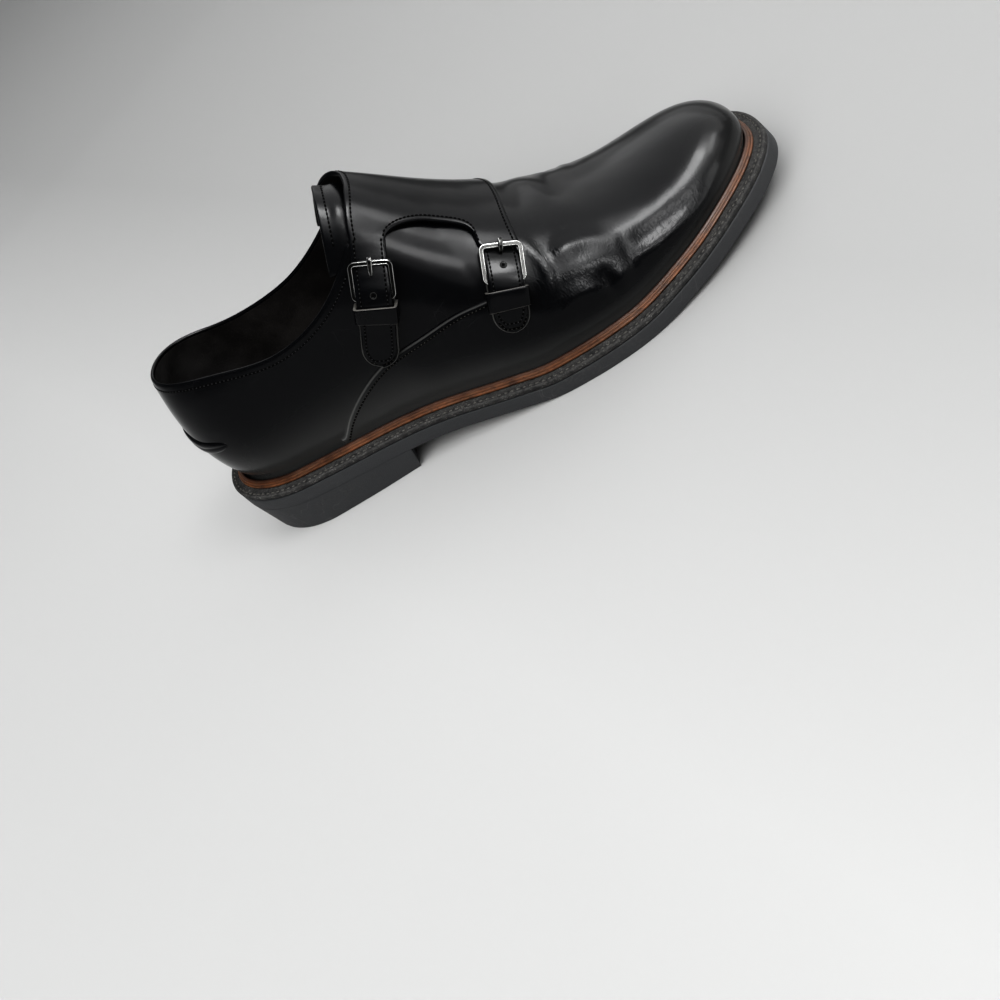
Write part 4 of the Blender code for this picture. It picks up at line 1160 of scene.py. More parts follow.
# ---------------------------------------------------------------- straps, flap and tongue
def strap_sections(strap, pitch, end_short):
    """Distance, u and v along a strap's middle line."""
    v = np.linspace(strap["v"][0], strap["v"][-1], 200)
    u = spline(strap, "u", "v")(v)
    run = np.concatenate([[0], np.cumsum(np.linalg.norm(np.diff(last(u, v), axis=0), axis=1))])
    total = run[-1] - end_short
    s = np.linspace(0, total, int(round(total / pitch)) + 1)
    return s, np.interp(s, run, u), np.interp(s, run, v)


def strap_frame(strap, s_at):
    """The middle of a strap at a distance along it: u, v and the way it runs."""
    s, u, v = strap_sections(strap, 0.5, 0.0)
    behind, here, ahead = ((np.interp(s_at + d, s, u), np.interp(s_at + d, s, v)) for d in (-0.5, 0.0, 0.5))
    return *here, unit(last(*ahead) - last(*behind))


def over_strap(strap, s_at, height):
    """The point at a height over a strap's middle line."""
    u, v, _ = strap_frame(strap, s_at)
    return skin(u, v, height)


def round_tip(left, length):
    """A strap's share of its width where so much of it is left."""
    return np.sqrt(np.maximum(0, 1 - np.maximum(0, 1 - left / length) ** 2))


def strap_grid(strap, half, tip, end_short=0.0, start=0.0):
    """Distance, u, v, way and offset of a net over a strap with a round tip."""
    s, u, v = strap_sections(strap, 1.0, end_short)
    aim = np.gradient(last(u, v), axis=0)
    keep = s >= start
    s, u, v, aim = s[keep], u[keep], v[keep], aim[keep]
    offset = half * np.maximum(round_tip(s[-1] - s, tip), 0.12)[:, None] * np.linspace(-1, 1, STRAP_COLUMNS)
    return (*(np.repeat(a[:, None], STRAP_COLUMNS, 1) for a in (s, u, v, aim)), offset)


def ribbon(u, v, aim, offset, height, flat=1.0):
    """Points beside a strap's middle line: on the skin, or flat across the strap."""
    on_skin = skin(*beside(u, v, aim, offset), height)
    across = unit(np.cross(aim, normal_at(u, v)))
    in_plane = skin(u, v, height) + across * offset[..., None]
    flat = np.broadcast_to(flat, offset.shape)[..., None]
    return on_skin * (1 - flat) + in_plane * flat


def strap_flat(s):
    """How flat a strap lies across: not at all where it leaves the flap."""
    return np.clip(s / 7, 0, 1)


def strap_top(name, s, offset):
    """Height of a strap's outer face, crowned across, and thicker where it leaves the flap."""
    crowned = STRAP_CROWN * (1 - (offset / STRAP_HALF) ** 2) * smooth(s / 8)
    return strap_rise[name](s) + STRAP + crowned + STRAP_CROWN * (1 - smooth(s / 6))


def cut_rise(u):
    """v of the arched cut between the two straps."""
    b = 2 * (u - CUT[0]) / (CUT[1] - CUT[0]) - 1
    full = np.where(b < 0, CUT_REAR, CUT_FRONT)
    return STRAP_V + (CUT_V - STRAP_V) * np.clip(1 - np.abs(b) ** full, 0, 1) ** (1 / full)


def flap_field():
    """u, v and both depths of the flap and the medial quarter it grows out of, and the columns' shares."""
    width = flap_front(STRAP_V) - flap_rear(STRAP_V)
    rear_share, front_share = ((cut - flap_rear(STRAP_V)) / width for cut in CUT)
    arch = (1 - np.cos(np.linspace(0, np.pi, ARCH_COLUMNS))) / 2
    shares = np.concatenate([np.linspace(0, rear_share, STRAP_COLUMNS),
                             rear_share + (front_share - rear_share) * arch[1:-1],
                             np.linspace(front_share, 1, STRAP_COLUMNS)])
    start_u = flap_rear(STRAP_V) + width * shares
    start_v = np.where((start_u > CUT[0]) & (start_u < CUT[1]), cut_rise(start_u), STRAP_V)
    end_v = FLAP_REAR["v"][-1] + (FLAP_FRONT["v"][-1] - FLAP_REAR["v"][-1]) * shares
    v = start_v + (end_v - start_v) * np.linspace(0, 1, FLAP_ROWS)[:, None]
    u = flap_rear(v) + (flap_front(v) - flap_rear(v)) * shares
    foot_u = MEDIAL_END[0] + (MEDIAL_END[1] - MEDIAL_END[0]) * shares
    foot_v = 2 - seam_v[1](foot_u) - 0.003
    more = np.linspace(0, 1, FOOT_ROWS)[1:, None]
    u = np.concatenate([u, u[-1] + (foot_u - u[-1]) * more])
    v = np.concatenate([v, v[-1] + (foot_v - v[-1]) * more])
    line = last(u, v)
    to_end = np.linalg.norm(line - line[-1], axis=-1)
    full = smooth(to_end / np.clip(to_end[FLAP_ROWS - 1], 8, 24))        # it sinks level with the quarter
    beyond = np.concatenate([np.zeros(FLAP_ROWS), more[:, 0]])[:, None]
    full = full * (1 - (1 - smooth(shares * 5.5)) * smooth(beyond / 0.3))     # and sooner at its rear edge
    outer = -LAP + 0.03 + full * (GAP + FLAP + LAP - 0.03)
    inner = GAP * full + (1 - full) * (-LAP - 1.2)
    return u, v, inner, outer, shares


class SHOE_OT_flap(bpy.types.Operator):
    """The flap over the instep with its two straps, grown out of the medial quarter"""
    bl_idname = "shoe.flap"
    bl_label = "Flap and straps"

    def execute(self, context):
        u, v, low, high, shares = flap_field()
        faces = grid(*u.shape)
        inner, outer = [skin(u, v, low).reshape(-1, 3)], [skin(u, v, high).reshape(-1, 3)]
        count = u.size
        for name, first in (("rear", 0), ("front", len(shares) - STRAP_COLUMNS)):
            s, uu, vv, aim, offset = strap_grid(STRAPS[name], STRAP_HALF, STRAP_ROUND, end_short=STRAP_TIP)
            under, over = (ribbon(uu, vv, aim, offset, height, strap_flat(s))[1:]
                           for height in (strap_rise[name](s), strap_top(name, s, offset)))
            if under[0, 0, 0] > under[0, -1, 0]:
                under, over = under[:, ::-1], over[:, ::-1]
            inner.append(under.reshape(-1, 3))
            outer.append(over.reshape(-1, 3))
            above = list(range(first, first + STRAP_COLUMNS))
            for row in range(len(under)):
                here = [count + row * STRAP_COLUMNS + k for k in range(STRAP_COLUMNS)]
                faces += [[above[k + 1], above[k], here[k], here[k + 1]] for k in range(STRAP_COLUMNS - 1)]
                above = here
            count += len(under) * STRAP_COLUMNS
        sheet("flap_and_straps", np.concatenate(inner), np.concatenate(outer), faces,
              [upper_leather(), upper_leather(), back_leather()], ["flap"])
        return {"FINISHED"}


def tongue_field():
    """u, v and both depths of the tongue, padded where it shows."""
    across = np.linspace(0.46, 1.50, 71)
    rear = 130 - 17 * ((across - 1) / 0.55) ** 2
    front = 196
    rows = np.concatenate([np.linspace(0, 0.25, 32)[:-1], np.linspace(0.25, 1, 34)])[:, None]
    u = rear + (front - rear) * rows
    v = np.tile(across, (len(rows), 1))
    padded = smooth((u - rear - 2.6) / 4.5) * smooth((0.46 - np.abs(v - 1)) / 0.30) * smooth((152 - u) / 18)
    top_face = -WALL - 0.6 + 1.2 * padded
    return u, v, np.full(u.shape, -WALL - 0.6 - TONGUE), top_face


class SHOE_OT_tongue(bpy.types.Operator):
    """The padded tongue under the flap"""
    bl_idname = "shoe.tongue"
    bl_label = "Tongue"

    def execute(self, context):
        mats = [strap_leather(), strap_leather(), back_leather()]
        panel("padded_tongue", *tongue_field(), mats, ["tongue"])
        return {"FINISHED"}


# ---------------------------------------------------------------- tabs, keepers and holes
class SHOE_OT_chapes(bpy.types.Operator):
    """The stitched leather tabs that hold the buckles"""
    bl_idname = "shoe.chapes"
    bl_label = "Buckle tabs"

    def execute(self, context):
        # the tabs' cut edges are pale grey: partly their own colour, partly a painted highlight
        mats = [strap_leather(), lining("tab_edge_and_highlight", (0.035, 0.035, 0.033)), back_leather()]
        for name, strap in STRAPS.items():
            start = TOP_BAR[name] + BAR_TO_CHAPE
            _, u, v, aim, offset = strap_grid(strap, CHAPE_HALF, CHAPE_ROUND, start=start)
            u, v = beside(u, v, aim, offset)
            low = ground(u, v) + GAP
            low = np.minimum(low, low.mean(1, keepdims=True) + 0.5)     # stiff where the vamp's edge lifts it
            panel("tab_" + name, u, v, low, low + CHAPE, mats, ["chape_" + name])
        return {"FINISHED"}


def bridge(half, height, corner):
    """Offsets and heights over a keeper's top, foot to foot, with rounded shoulders."""
    turn = np.linspace(0, np.pi / 2, 6)
    side = half - corner + corner * np.cos(turn)
    up = height - corner + corner * np.sin(turn)
    flat = np.linspace(1, 0, 6)[1:-1] * (half - corner)
    right = np.concatenate([side, flat])
    rise = np.concatenate([up, np.full(len(flat), height)])
    return np.concatenate([-right, [0], right[::-1]]), np.concatenate([rise, [height], rise[::-1]])


def keeper_section(name, s_at, more):
    """A keeper's face over one section of the strap: foot, shoulder, top, shoulder, foot."""
    over = float(strap_rise[name](s_at)) + STRAP + GAP + 0.1
    offset, rise = bridge(CHAPE_HALF + GAP + more, over + more, 0.6 + more)
    u, v, aim = (np.repeat(np.asarray(a)[None], len(offset), 0) for a in strap_frame(STRAPS[name], s_at))
    points = ribbon(u, v, aim, offset, rise)
    feet = [0, -1]
    foot_u, foot_v = beside(u[feet], v[feet], aim[feet], offset[feet])
    foot = skin(foot_u, foot_v, ground(foot_u, foot_v) + 0.1)
    legs = [foot[k] + (points[feet[k]] - foot[k]) * np.linspace(0, 1, 5)[:-1, None] for k in (0, 1)]
    return np.concatenate([legs[0], points, legs[1][::-1]])


class SHOE_OT_keepers(bpy.types.Operator):
    """The leather loops that hold the straps down"""
    bl_idname = "shoe.keepers"
    bl_label = "Keepers"

    def execute(self, context):
        # the keepers' edges are pale grey: partly their own colour, partly a painted highlight
        mats = [strap_leather(), lining("keeper_edge_and_highlight", settings().leather.cut_edge), back_leather()]
        for name in STRAPS:
            start = TOP_BAR[name] + BAR_TO_KEEPER
            steps = np.linspace(start, start + KEEPER_LENGTH, 11)
            inner, outer = (np.array([keeper_section(name, s_at, more) for s_at in steps])
                            for more in (0.0, KEEPER))
            sheet("loop_" + name, inner.reshape(-1, 3), outer.reshape(-1, 3), grid(*inner.shape[:2]), mats,
                  ["keeper_" + name], bulge=0.25, rings=3)
        return {"FINISHED"}


class SHOE_OT_strap_holes(bpy.types.Operator):
    """The spare hole of each strap, with its pressed rim, and a dark disc in it as painted shade"""
    bl_idname = "shoe.strap_holes"
    bl_label = "Strap holes"

    def execute(self, context):
        # the marked band is painted paler: partly rub wear, partly a painted highlight on the pressed rim
        rim = table("radius lift rubbed", (0.70, -0.5, 0), (0.74, -0.02, 0), (0.90, 0.10, 0), (1.20, 0.04, 1),
                    (1.48, 0.24, 0), (1.75, -0.35, 0))
        sides, shade_disc_radius, shade_disc_foot, shade_disc_top = 24, 0.72, -0.45, 0.03
        turn = np.linspace(0, 2 * np.pi, sides, endpoint=False)
        parts, kinds = [], []
        for name, strap in STRAPS.items():
            s_at = TOP_BAR[name] + BAR_TO_HOLE[name]
            behind, centre, ahead = (
                over_strap(strap, s_at + d, float(strap_rise[name](s_at + d)) + STRAP + STRAP_CROWN)
                for d in (-0.8, 0.0, 0.8))
            down = unit(ahead - behind)
            side = unit(np.cross(down, normal_at(*strap_frame(strap, s_at)[:2])))
            up = np.cross(side, down)
            circle = np.cos(turn)[:, None] * side + np.sin(turn)[:, None] * down
            loops = [centre + radius * circle + up * lift for radius, lift in zip(rim["radius"], rim["lift"])]
            bottom = list(range((len(loops) - 1) * sides, len(loops) * sides))
            parts.append((np.concatenate(loops), ring_faces(len(loops), sides) + [bottom]))
            kinds += [2 * int(rubbed) for rubbed in rim["rubbed"][:-1] for _ in range(sides)] + [0]
            # a near-black disc filling the hole: painted shade of its inside
            disc = centre + shade_disc_radius * circle
            parts.append((np.concatenate([disc + up * shade_disc_foot, disc + up * shade_disc_top]),
                          ring_faces(2, sides) + [list(range(sides)), list(range(sides, 2 * sides))]))
            kinds += [1] * (sides + 2)
        points, faces = merge(parts)
        piece("strap_holes", points, faces,
              [strap_leather(), hole_shade_paint(), thread("rim_rub_and_highlight", (0.05, 0.05, 0.047), 0.5)],
              "leather", kinds=kinds, sharp=50)
        return {"FINISHED"}


# ---------------------------------------------------------------- metal
def rounded_box(half_x, half_y, corner, steps):
    """The four rounded corners of a box, each a list of points, from the one at plus x and plus y."""
    corners = []
    for x, y, start in ((1, 1, 0), (-1, 1, 90), (-1, -1, 180), (1, -1, 270)):
        turn = np.radians(np.linspace(start, start + 90, steps))
        corners.append(np.column_stack([x * (half_x - corner) + corner * np.cos(turn),
                                        y * (half_y - corner) + corner * np.sin(turn)]))
    return corners


def frame_axes(strap, top_bar):
    """The buckle's centre and its directions across, down and away from the strap."""
    upper_bar = over_strap(strap, top_bar, 4.6)
    lower_bar = over_strap(strap, top_bar + BAR_TO_BAR, 3.5)
    down = unit(lower_bar - upper_bar)
    u, v, _ = strap_frame(strap, top_bar + BAR_TO_BAR / 2)
    across = unit(np.cross(down, normal_at(u, v)))
    centre = (upper_bar + lower_bar) / 2
    bow = (skin(u, v, 4.0) - centre) @ across
    away = np.cross(across, down)
    return centre + across * bow / 2, across, down, away * np.sign(away @ normal_at(u, v))


def bar_section(half_width, half_depth):
    """The section of a frame's bar, with the channel along its face, and where the channel's painted dark
    reflection goes.
    """
    edge, steps = 0.3, 4
    channel = table("across down dark", (0.95, 0.0, 0), (0.75, 0.14, 1), (-0.75, 0.14, 1), (-0.95, 0.0, 0))
    first, *others = rounded_box(half_width, half_depth, edge, steps)
    middle_band = np.column_stack([channel["across"] * (half_width - edge), half_depth - channel["down"]])
    painted_dark_band = np.concatenate([np.zeros(steps), channel["dark"], np.zeros(3 * steps)])
    return np.concatenate([first, middle_band, *others]), painted_dark_band


class SHOE_OT_buckles(bpy.types.Operator):
    """The two rectangular frames and their prongs"""
    bl_idname = "shoe.buckles"
    bl_label = "Buckles"

    def execute(self, context):
        chosen = settings().metal
        metal = chrome("bright_metal", chosen.colour, 0.12)
        section, painted_dark_band = bar_section(chosen.width * 500, chosen.depth * 500)
        outline = np.concatenate(rounded_box(BUCKLE_WIDTH / 2 - WIRE, BUCKLE_HEIGHT / 2 - WIRE, 1.9, 9))
        for name, strap in STRAPS.items():
            centre, across, down, away = frame_axes(strap, TOP_BAR[name])
            path = centre + outline[:, :1] * across + outline[:, 1:] * down
            out = np.cross(unit(np.roll(path, -1, 0) - np.roll(path, 1, 0)), away)
            points, faces = sweep(path, (out, np.tile(away, (len(path), 1))), section, closed=True)
            piece("frame_" + name, points, faces, [metal], "metal", ["buckle_" + name],
                  marks={"painted_dark_band": np.tile(painted_dark_band, len(path))}, sharp=28)
            self.prong(name, strap, metal)
        return {"FINISHED"}

    def prong(self, name, strap, metal):
        """A tapering pin that lies on the strap and hooks over the top bar."""
        lying = {"rear": ((6.0, 4.0, 0.3), (5.4, 4.9, 0.42), (3.6, 5.6, 0.72)),
                 "front": ((3.7, 3.2, 0.45), (3.2, 4.3, 0.55), (2.3, 5.4, 0.74))}[name]
        rest = table("below height radius", *lying, (1.6, 5.95, 0.8), (0.5, 6.3, 0.84), (-0.4, 6.3, 0.84),
                     (-1.0, 6.0, 0.82), (-1.3, 5.7, 0.75), (-1.4, 5.55, 0.6))
        key = np.arange(len(rest["below"]))
        t = np.linspace(0, key[-1], 41)
        below, high, radius = (np.interp(t, key, rest[column]) for column in ("below", "height", "radius"))
        path = np.array([over_strap(strap, TOP_BAR[name] + d, h) for d, h in zip(below, high)])
        along = unit(np.gradient(path, axis=0))
        side = unit(np.cross(along, normal_at(*strap_frame(strap, TOP_BAR[name] + 2.5)[:2])))
        up = np.cross(side, along)
        turn = np.linspace(0, 2 * np.pi, 14, endpoint=False)
        section = np.column_stack([np.cos(turn), np.sin(turn)])
        section = np.sign(section) * np.abs(section) ** 0.55         # nearly square, as flat wire
        points, faces = sweep(path, (side * 1.3 * radius[:, None], up * 0.9 * radius[:, None]), section)
        # painted reflection: a dark band along the middle of the pin's top and underside
        middle_band = np.tile(np.abs(section[:, 0]) < 0.5, len(path)).astype(float)
        piece("pin_" + name, points, faces, [metal], "metal", ["prong_" + name], marks={"painted_dark_band": middle_band})


# ---------------------------------------------------------------- sole, heel, welt and rand
class SHOE_OT_outsole(bpy.types.Operator):
    """The outsole with its rounded edge"""
    bl_idname = "shoe.outsole"
    bl_label = "Outsole"

    def execute(self, context):
        edge = settings().sole.round_edge * 1000
        seat_inset = 5.3
        loops = []
        for up, inward in ((0, edge), (0.12, 0.45 * edge), (0.45, 0.12 * edge), (1.0, 0), (4.0, -0.05),
                           (7.0, 0), (7.6, 0.1 * edge), (7.9, 0.45 * edge), (OUTSOLE, edge)):
            loops.append(level(inset(top_loop(share=up / WELT_TOP), inward), up))
        loops += [level(feather_loop(inward=seat_inset), up) for up in (OUTSOLE, WELT_TOP)]
        stack("outsole_edge", loops, sole_rubber(), "sole", ["outsole"])
        return {"FINISHED"}


class SHOE_OT_heel(bpy.types.Operator):
    """The heel block"""
    bl_idname = "shoe.heel"
    bl_label = "Heel"

    def execute(self, context):
        edge = settings().sole.round_edge * 1000
        middle = np.array([46.0, -0.5])
        seat = sole_loop(HEEL_POINTS, BREAST)
        # the top reaches into the notch of the outsole's rounded edge, so that no line shows
        high = underside(seat[:, 0]) + 0.4
        forward = HEEL_TAPER * (1 - seat[:, 0] / BREAST * (1 + BREAST_SLANT / HEEL_TAPER))
        inwards = HEEL_TAPER * np.sign(seat[:, 1]) * np.minimum(1, np.abs(seat[:, 1]) / 20)
        loops = []
        for share, inward in ((0.0, edge), (0.006, 0.5 * edge), (0.025, 0.15 * edge), (0.05, 0), (0.35, 0),
                              (0.7, 0), (0.97, 0), (1.0, 0)):
            foot = seat + np.column_stack([forward, -inwards]) * (1 - share)
            loops.append(np.column_stack([foot + unit(middle - foot) * inward, high * share]))
        stack("heel_block", loops, sole_rubber(), "sole", ["heel"], closed_end=False)
        return {"FINISHED"}


class SHOE_OT_welt(bpy.types.Operator):
    """The rough-topped welt"""
    bl_idname = "shoe.welt"
    bl_label = "Welt"

    def execute(self, context):
        base = OUTSOLE + GAP
        # the last column: rub wear over the top, and a painted highlight round the outer edge
        profile = table("up inward rubbed", (0.3, 0.12, 0.3), (0.8, 0.0, 0), (1.8, 0.05, 0.1),
                        (2.3, 0.25, 0.8), (2.6, 0.7, 1.0), (2.7, 1.2, 0.2), (2.62, 1.9, 0), (2.45, 2.3, 0),
                        (2.62, 2.7, 0), (2.7, 3.4, 0.5), (2.7, 5.0, 1.0))
        loops = [level(inset(top_loop(share=OUTSOLE / WELT_TOP), 0.5), base)]
        for up, inward in zip(base + profile["up"], profile["inward"]):
            loops.append(level(inset(top_loop(share=up / WELT_TOP), inward), up))
        for inward, up in ((-3.2, WELT_TOP - GAP + 0.27), (5.0, WELT_TOP), (5.0, base)):
            loops.append(level(feather_loop(inward=inward), up))
        rubbed = [0.0, *profile["rubbed"], 1.0, 0.0, 0.0]
        count = len(loops[0])
        piece("rough_welt_strip", np.concatenate(loops), ring_faces(len(loops), count, closed=True),
              [welt_finish("rough_welt")], "welt", ["welt"],
              marks={"rubbed": np.repeat(rubbed, count)}, sharp=60)
        return {"FINISHED"}


class SHOE_OT_rand(bpy.types.Operator):
    """The bead of leather between upper and welt"""
    bl_idname = "shoe.rand"
    bl_label = "Rand"

    def execute(self, context):
        # dark: painted shade under the upper's overhang, at the bead's foot and in its two grooves
        profile = table("out up dark", (0.3, 0.3, 1), (3.3, 0.25, 1), (3.6, 0.45, 0.6), (3.7, 0.85, 0),
                        (3.62, 1.2, 0), (3.35, 1.5, 0), (3.05, 1.6, 0.1), (2.85, 1.58, 0.7),
                        (2.75, 1.72, 0.6), (2.7, 2.05, 0.1), (2.45, 2.4, 0.2), (2.1, 2.58, 0.3),
                        (1.85, 2.55, 0.7), (1.7, 2.7, 0.6), (1.5, 3.0, 0.7), (1.15, 3.25, 0.85),
                        (0.7, 3.35, 1), (0.35, 3.2, 1))
        loops = [level(feather_loop(inward=-out), WELT_TOP + up)
                 for out, up in zip(profile["out"], profile["up"])]
        count = len(loops[0])
        piece("rand_bead", np.concatenate(loops), ring_faces(len(loops), count, closed=True),
              [rand_finish("brown_rand", settings().sole.rand)], "rand", ["rand"],
              marks={"dark": np.repeat(profile["dark"], count)}, sharp=70)
        return {"FINISHED"}


class SHOE_OT_insole(bpy.types.Operator):
    """The sock lining inside"""
    bl_idname = "shoe.insole"
    bl_label = "Sock"

    def execute(self, context):
        loops = []
        for inward, up in ((0, 0.4), (0, 2.9), (0.2, 3.25), (0.6, 3.4), (4, 3.35), (10, 3.1)):
            loops.append(level(feather_loop(inward=WALL + 1.2 + inward), WELT_TOP + up))
        stack("sock", loops, lining("sock_lining", settings().sole.sock), "sock", ["insole"])
        return {"FINISHED"}


# ---------------------------------------------------------------- stitches
def topline_row(side):
    """A row below the topline."""
    u = np.linspace(U_HEEL, 118 if side < 0 else 106, 160)
    rise = np.array([collar_v(a, side if a > U_HEEL else -1) for a in u])
    u, v, aim = dense(u, rise if side < 0 else 2 - rise, 300)
    below, above = (beside(u, v, aim, np.full(len(u), way * TOPLINE_INSET)) for way in (side, -side))
    if (last(*below)[:, 2] < last(u, v)[:, 2]).mean() < 0.5:
        below = above
    return skin(*below, ground(*below)), normal_at(*below)


def vamp_row(side):
    """A row along the vamp's edge."""
    u = np.linspace(66.5, 172, 120)
    rise = seam_v[side](u) - 0.014
    u, rise = u[rise > 0.003], rise[rise > 0.003]
    v = rise if side < 0 else 2 - rise
    return skin(u, v, relief(last(u, v))[0]), normal_at(u, v)


def flap_rows():
    """Rows along the flap's rear edge, its front edge and the arched cut."""
    u, v, _, high, shares = flap_field()
    outer = skin(u, v, high)
    arch = slice(STRAP_COLUMNS - 1, len(shares) - STRAP_COLUMNS + 1)
    rear, front = slice(0, FLAP_ROWS + 10), slice(0, FLAP_ROWS - 2)
    for edge, second, inset_by in (((rear, 0), (rear, 1), FLAP_INSET), ((front, -1), (front, -2), FLAP_INSET),
                                   ((0, arch), (1, arch), ARCH_INSET)):
        inwards = unit(outer[second] - outer[edge])
        yield outer[edge] + inwards * inset_by, normal_at(u[edge], v[edge])


def edge_line(strap, half, tip, start, end_short=0.0):
    """Distance, u, v, way and offset of a row that follows a strap's edge and round tip."""
    s, u, v = strap_sections(strap, 0.4, end_short)
    left = s[-1] - s
    edge = np.maximum(half * round_tip(left, tip) - EDGE_INSET, 0)
    keep = (s >= start) & (left > EDGE_INSET)
    s, u, v, edge = s[keep], u[keep], v[keep], edge[keep]
    aim = np.gradient(last(u, v), axis=0)
    return (*(np.concatenate([a, a[::-1]]) for a in (s, u, v, aim)), np.concatenate([edge, -edge[::-1]]))


def strap_row(name, strap):
    """A row round a strap."""
    s, u, v, aim, offset = edge_line(strap, STRAP_HALF, STRAP_ROUND, 0.6, STRAP_TIP)
    return ribbon(u, v, aim, offset, strap_top(name, s, offset), strap_flat(s)), normal_at(u, v)


def tab_row(name, strap):
    """A row round what shows of a tab."""
    start = TOP_BAR[name] + BAR_TO_KEEPER + 1
    _, u, v, aim, offset = edge_line(strap, CHAPE_HALF, CHAPE_ROUND, start)
    u, v = beside(u, v, aim, offset)
    return skin(u, v, ground(u, v) + GAP + CHAPE), normal_at(u, v)


def tongue_row():
    """A row inside the tongue's rim."""
    u, v, _, high = (field[5, 8:-8] for field in tongue_field())
    return skin(u, v, high), normal_at(u, v)


def upper_rows():
    """Every row of the upper: its thread, its points and their normals."""
    for side in (-1, 1):
        yield "dark", *topline_row(side)
        yield "pale", *vamp_row(side)
    for row in flap_rows():
        yield "dark", *row
    for name, strap in STRAPS.items():
        yield "dark", *strap_row(name, strap)
        yield "pale", *tab_row(name, strap)
    yield "dark", *tongue_row()


class SHOE_OT_stitches(bpy.types.Operator):
    """All thread of the upper: topline, seams, flap, straps and tabs"""
    bl_idname = "shoe.stitches"
    bl_label = "Stitches"

    def execute(self, context):
        chosen = settings().thread
        pitch, radius = chosen.pitch * 1000, chosen.thickness * 500
        threads, pits = {"dark": [], "pale": []}, []
        for tone, points, normals in upper_rows():
            threads[tone].append(stitch_row(points, normals, pitch, 0.42 * pitch, radius, pits))
        dark, pale = thread("upper_thread", chosen.dark, 0.35), thread("seam_thread", chosen.pale)
        piece("upper_stitches", *merge(threads["dark"]), [dark], "leather")
        piece("seam_stitches", *merge(threads["pale"]), [pale], "leather")
        # dark blobs at the needle holes: painted shade
        piece("stitch_hole_shading", *merge(pits), [hole_shade_paint()], "leather")
        return {"FINISHED"}


class SHOE_OT_welt_stitches(bpy.types.Operator):
    """The row of thread round the welt"""
    bl_idname = "shoe.welt_stitches"
    bl_label = "Welt stitches"

    def execute(self, context):
        chosen = settings().thread
        pitch = chosen.welt_pitch * 1000
        loop = level(inset(top_loop(400, share=0.99), 2.1), WELT_TOP - 0.28)
        loop = np.concatenate([loop, loop[:1]])
        points, faces = stitch_row(loop, np.tile([0.0, 0.0, 1.0], (len(loop), 1)), pitch, 0.62 * pitch, 0.42)
        piece("welt_stitches", points, faces, [thread("welt_thread", chosen.welt, 0.8)], "welt")
        return {"FINISHED"}


# ---------------------------------------------------------------- stage
CAMERA_AIM = (-0.0344, -0.0882, 0.0)      # where the lens's axis meets the floor
CAMERA_DISTANCE = 0.4368
CAMERA_AZIMUTH, CAMERA_ELEVATION, CAMERA_ROLL = -74.0, 41.23, 43.91
CAMERA_LENS = 36.03
LIGHT_AIM = (0.0, 0.0, 0.05)
LIGHT_DISTANCE = 2.5
FLOOR_FLAT, WALL_BEND, WALL_TOP = 3.0, 1.0, 3.2
# softboxes: azimuth and elevation from the shoe, width and height in degrees, how bright each looks,
# and whether it makes the highlights on the shoe (gloss) or lights it and the floor (fill)
LIGHTS = {"window": (-27.0, 57.0, 20.0, 17.0, 14.0, "gloss"),
          "window_side": (-35.0, 12.0, 13.0, 17.0, 3.4, "gloss"),
          "window_right": (-8.0, 40.0, 16.0, 8.0, 5.0, "gloss"),
          "low_window": (-52.0, 32.5, 14.0, 8.0, 10.0, "gloss"),
          "side_core": (-34.0, 51.0, 40.0, 24.0, 2.4, "gloss"),
          "side_mid": (-37.0, 48.0, 54.0, 36.0, 1.1, "gloss"),
          "side_wall": (-42.0, 42.0, 66.0, 48.0, 0.8, "gloss"),
          "rear_wall": (46.0, 54.0, 78.0, 56.0, 1.6, "gloss"),
          "rear_low": (52.0, 18.0, 56.0, 16.0, 0.6, "gloss"),
          "key": (-26.0, 58.0, 20.0, 16.0, 5.5, "fill"),
          "overhead": (-115.0, 48.0, 50.0, 40.0, 3.9, "fill"),
          "ceiling": (0.0, 90.0, 100.0, 100.0, 0.4, "fill")}


def direction(azimuth, elevation):
    """The way to a place in the sky, from degrees round and up."""
    turn, lift = np.radians(azimuth), np.radians(elevation)
    return np.array([np.cos(turn) * np.cos(lift), np.sin(turn) * np.cos(lift), np.sin(lift)])


def aimed(thing, aim, roll=0.0):
    """Turns a light or camera so that it looks at a point."""
    facing = (Vector(aim) - thing.location).to_track_quat("-Z", "Y").to_matrix()
    thing.rotation_euler = (facing @ Matrix.Rotation(roll, 3, "Z")).to_euler()


def softbox(name, azimuth, elevation, wide, high, glow, serves):
    """A rectangular light that looks as wide, high and bright from the shoe as LIGHTS says."""
    data = bpy.data.lights.new(name, "AREA")
    data.shape = "RECTANGLE"
    data.size, data.size_y = (2 * LIGHT_DISTANCE * np.tan(np.radians(angle) / 2) for angle in (wide, high))
    data.energy = glow * np.pi * data.size * data.size_y
    light = bpy.data.objects.new(name, data)
    light.location = (direction(azimuth, elevation) * LIGHT_DISTANCE).tolist()
    light.visible_camera = False
    light.visible_glossy = serves != "fill"
    light.visible_diffuse = serves != "gloss"
    aimed(light, LIGHT_AIM)
    bpy.context.scene.collection.objects.link(light)


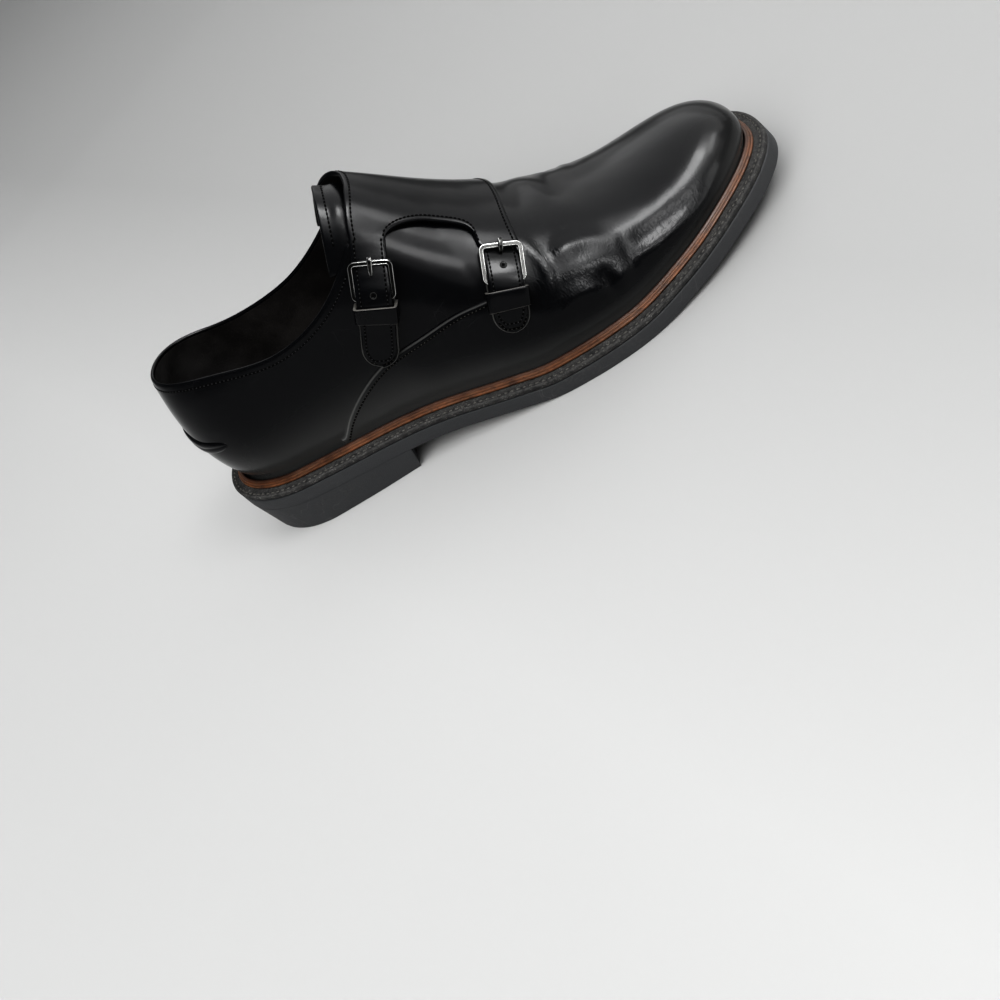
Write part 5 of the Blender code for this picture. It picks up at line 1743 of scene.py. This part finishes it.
def floor_painted_shade(colour):
    """Pale matt paint, and painted shade: a little darker beyond the toe on its medial side, for the light's
    falloff and the shoe's shadow.
    """
    mat, tree, shader, where = new_material("floor_painted_shade")
    if tree:
        tone = blend(tree, ramp(tree, noise(tree, where, 3.0, 3.0), 0.3, 0.7), shade(colour, 0.985), colour)
        place_at = new_node(tree, "ShaderNodeSeparateXYZ", {"Vector": where}).outputs
        # painted shade: the floor darkens along this direction
        beyond = math(tree, "MULTIPLY_ADD", place_at["X"], 1.6, place_at["Y"])
        tone = blend(tree, ramp(tree, beyond, -0.26, 0.14), tone, shade(colour, 0.76))
        feed(tree, shader.inputs["Base Color"], tone)
        feed(tree, shader.inputs["Roughness"], 0.6)
    return mat


def lay_floor(colour):
    """A round floor that bends up into a wall."""
    turns = np.radians(np.arange(0, 360, 5))
    rise = [(0.6, 0.0), (1.5, 0.0)]
    rise += [(FLOOR_FLAT + WALL_BEND * np.sin(t), WALL_BEND * (1 - np.cos(t)))
             for t in np.radians(np.arange(0, 91, 10))]
    rise.append((FLOOR_FLAT + WALL_BEND, WALL_TOP))
    points = [(0, 0, 0)] + [(r * np.cos(t), r * np.sin(t), z) for r, z in rise for t in turns]
    count = len(turns)
    faces = [[0, 1 + k, 1 + (k + 1) % count] for k in range(count)]
    faces += [[1 + k for k in reversed(face)] for face in ring_faces(len(rise), count)]
    mesh = bpy.data.meshes.new("floor")
    mesh.from_pydata(points, [], faces)
    mesh.shade_smooth()
    mesh.materials.append(floor_painted_shade(colour))
    floor = bpy.data.objects.new("floor", mesh)
    bpy.context.scene.collection.objects.link(floor)
    floor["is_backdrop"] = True


def camera():
    data = bpy.data.cameras.new("camera")
    data.lens, data.sensor_width = CAMERA_LENS, 36.0
    data.clip_start = 0.01
    data.dof.use_dof = False
    thing = bpy.data.objects.new("camera", data)
    away = direction(CAMERA_AZIMUTH, CAMERA_ELEVATION) * CAMERA_DISTANCE
    thing.location = (np.array(CAMERA_AIM) + away).tolist()
    aimed(thing, CAMERA_AIM, -np.radians(CAMERA_ROLL))
    bpy.context.scene.collection.objects.link(thing)
    bpy.context.scene.camera = thing


class SHOE_OT_stage(bpy.types.Operator):
    """Floor, lights, world and camera"""
    bl_idname = "shoe.stage"
    bl_label = "Stage"

    def execute(self, context):
        chosen = settings().stage
        lay_floor(chosen.floor)
        for name, (azimuth, elevation, wide, high, glow, serves) in LIGHTS.items():
            softbox(name, azimuth, elevation, wide, high, chosen.light * glow, serves)
        world = bpy.data.worlds.new("room")
        world.use_nodes = True
        sky = world.node_tree.nodes["Background"]
        sky.inputs["Color"].default_value = (0.80, 0.84, 0.88, 1)
        sky.inputs["Strength"].default_value = chosen.sky
        bpy.context.scene.world = world
        camera()
        bpy.context.scene.view_settings.view_transform = "Standard"
        bpy.context.scene.view_settings.look = "High Contrast"
        return {"FINISHED"}


PIECES = (SHOE_OT_upper, SHOE_OT_heel_stay, SHOE_OT_flap, SHOE_OT_tongue, SHOE_OT_chapes, SHOE_OT_keepers,
          SHOE_OT_strap_holes, SHOE_OT_buckles, SHOE_OT_outsole, SHOE_OT_heel, SHOE_OT_welt, SHOE_OT_rand,
          SHOE_OT_insole, SHOE_OT_stitches, SHOE_OT_welt_stitches, SHOE_OT_stage)


class SHOE_PT_panel(bpy.types.Panel):
    """Sizes, colours and pieces of the shoe"""
    bl_idname = "SHOE_PT_panel"
    bl_label = "Strap Shoe"
    bl_space_type = "VIEW_3D"
    bl_region_type = "UI"
    bl_category = "Shoe"

    def draw(self, context):
        chosen = context.scene.strap_shoe
        for group in (chosen.leather, chosen.thread, chosen.metal, chosen.sole, chosen.stage):
            box = self.layout.box()
            for key in group.bl_rna.properties.keys():
                if key not in ("rna_type", "name"):
                    box.prop(group, key)
        for operator in PIECES:
            self.layout.operator(operator.bl_idname)


CLASSES = (LeatherSettings, ThreadSettings, MetalSettings, SoleSettings, StageSettings, ShoeSettings, *PIECES,
           SHOE_PT_panel)


def register():
    for item in CLASSES:
        bpy.utils.register_class(item)
    bpy.types.Scene.strap_shoe = bpy.props.PointerProperty(type=ShoeSettings)


def unregister():
    del bpy.types.Scene.strap_shoe
    for item in reversed(CLASSES):
        bpy.utils.unregister_class(item)


def main():
    register()
    for operator in PIECES:
        group, name = operator.bl_idname.split(".")
        getattr(getattr(bpy.ops, group), name)()
    corners = {"cad": CAD_BOX, "dressed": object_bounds()}
    json.dumps({key: [list(map(float, corner)) for corner in box] for key, box in corners.items()},
                         indent=1)


if __name__ == "__main__":
    main()
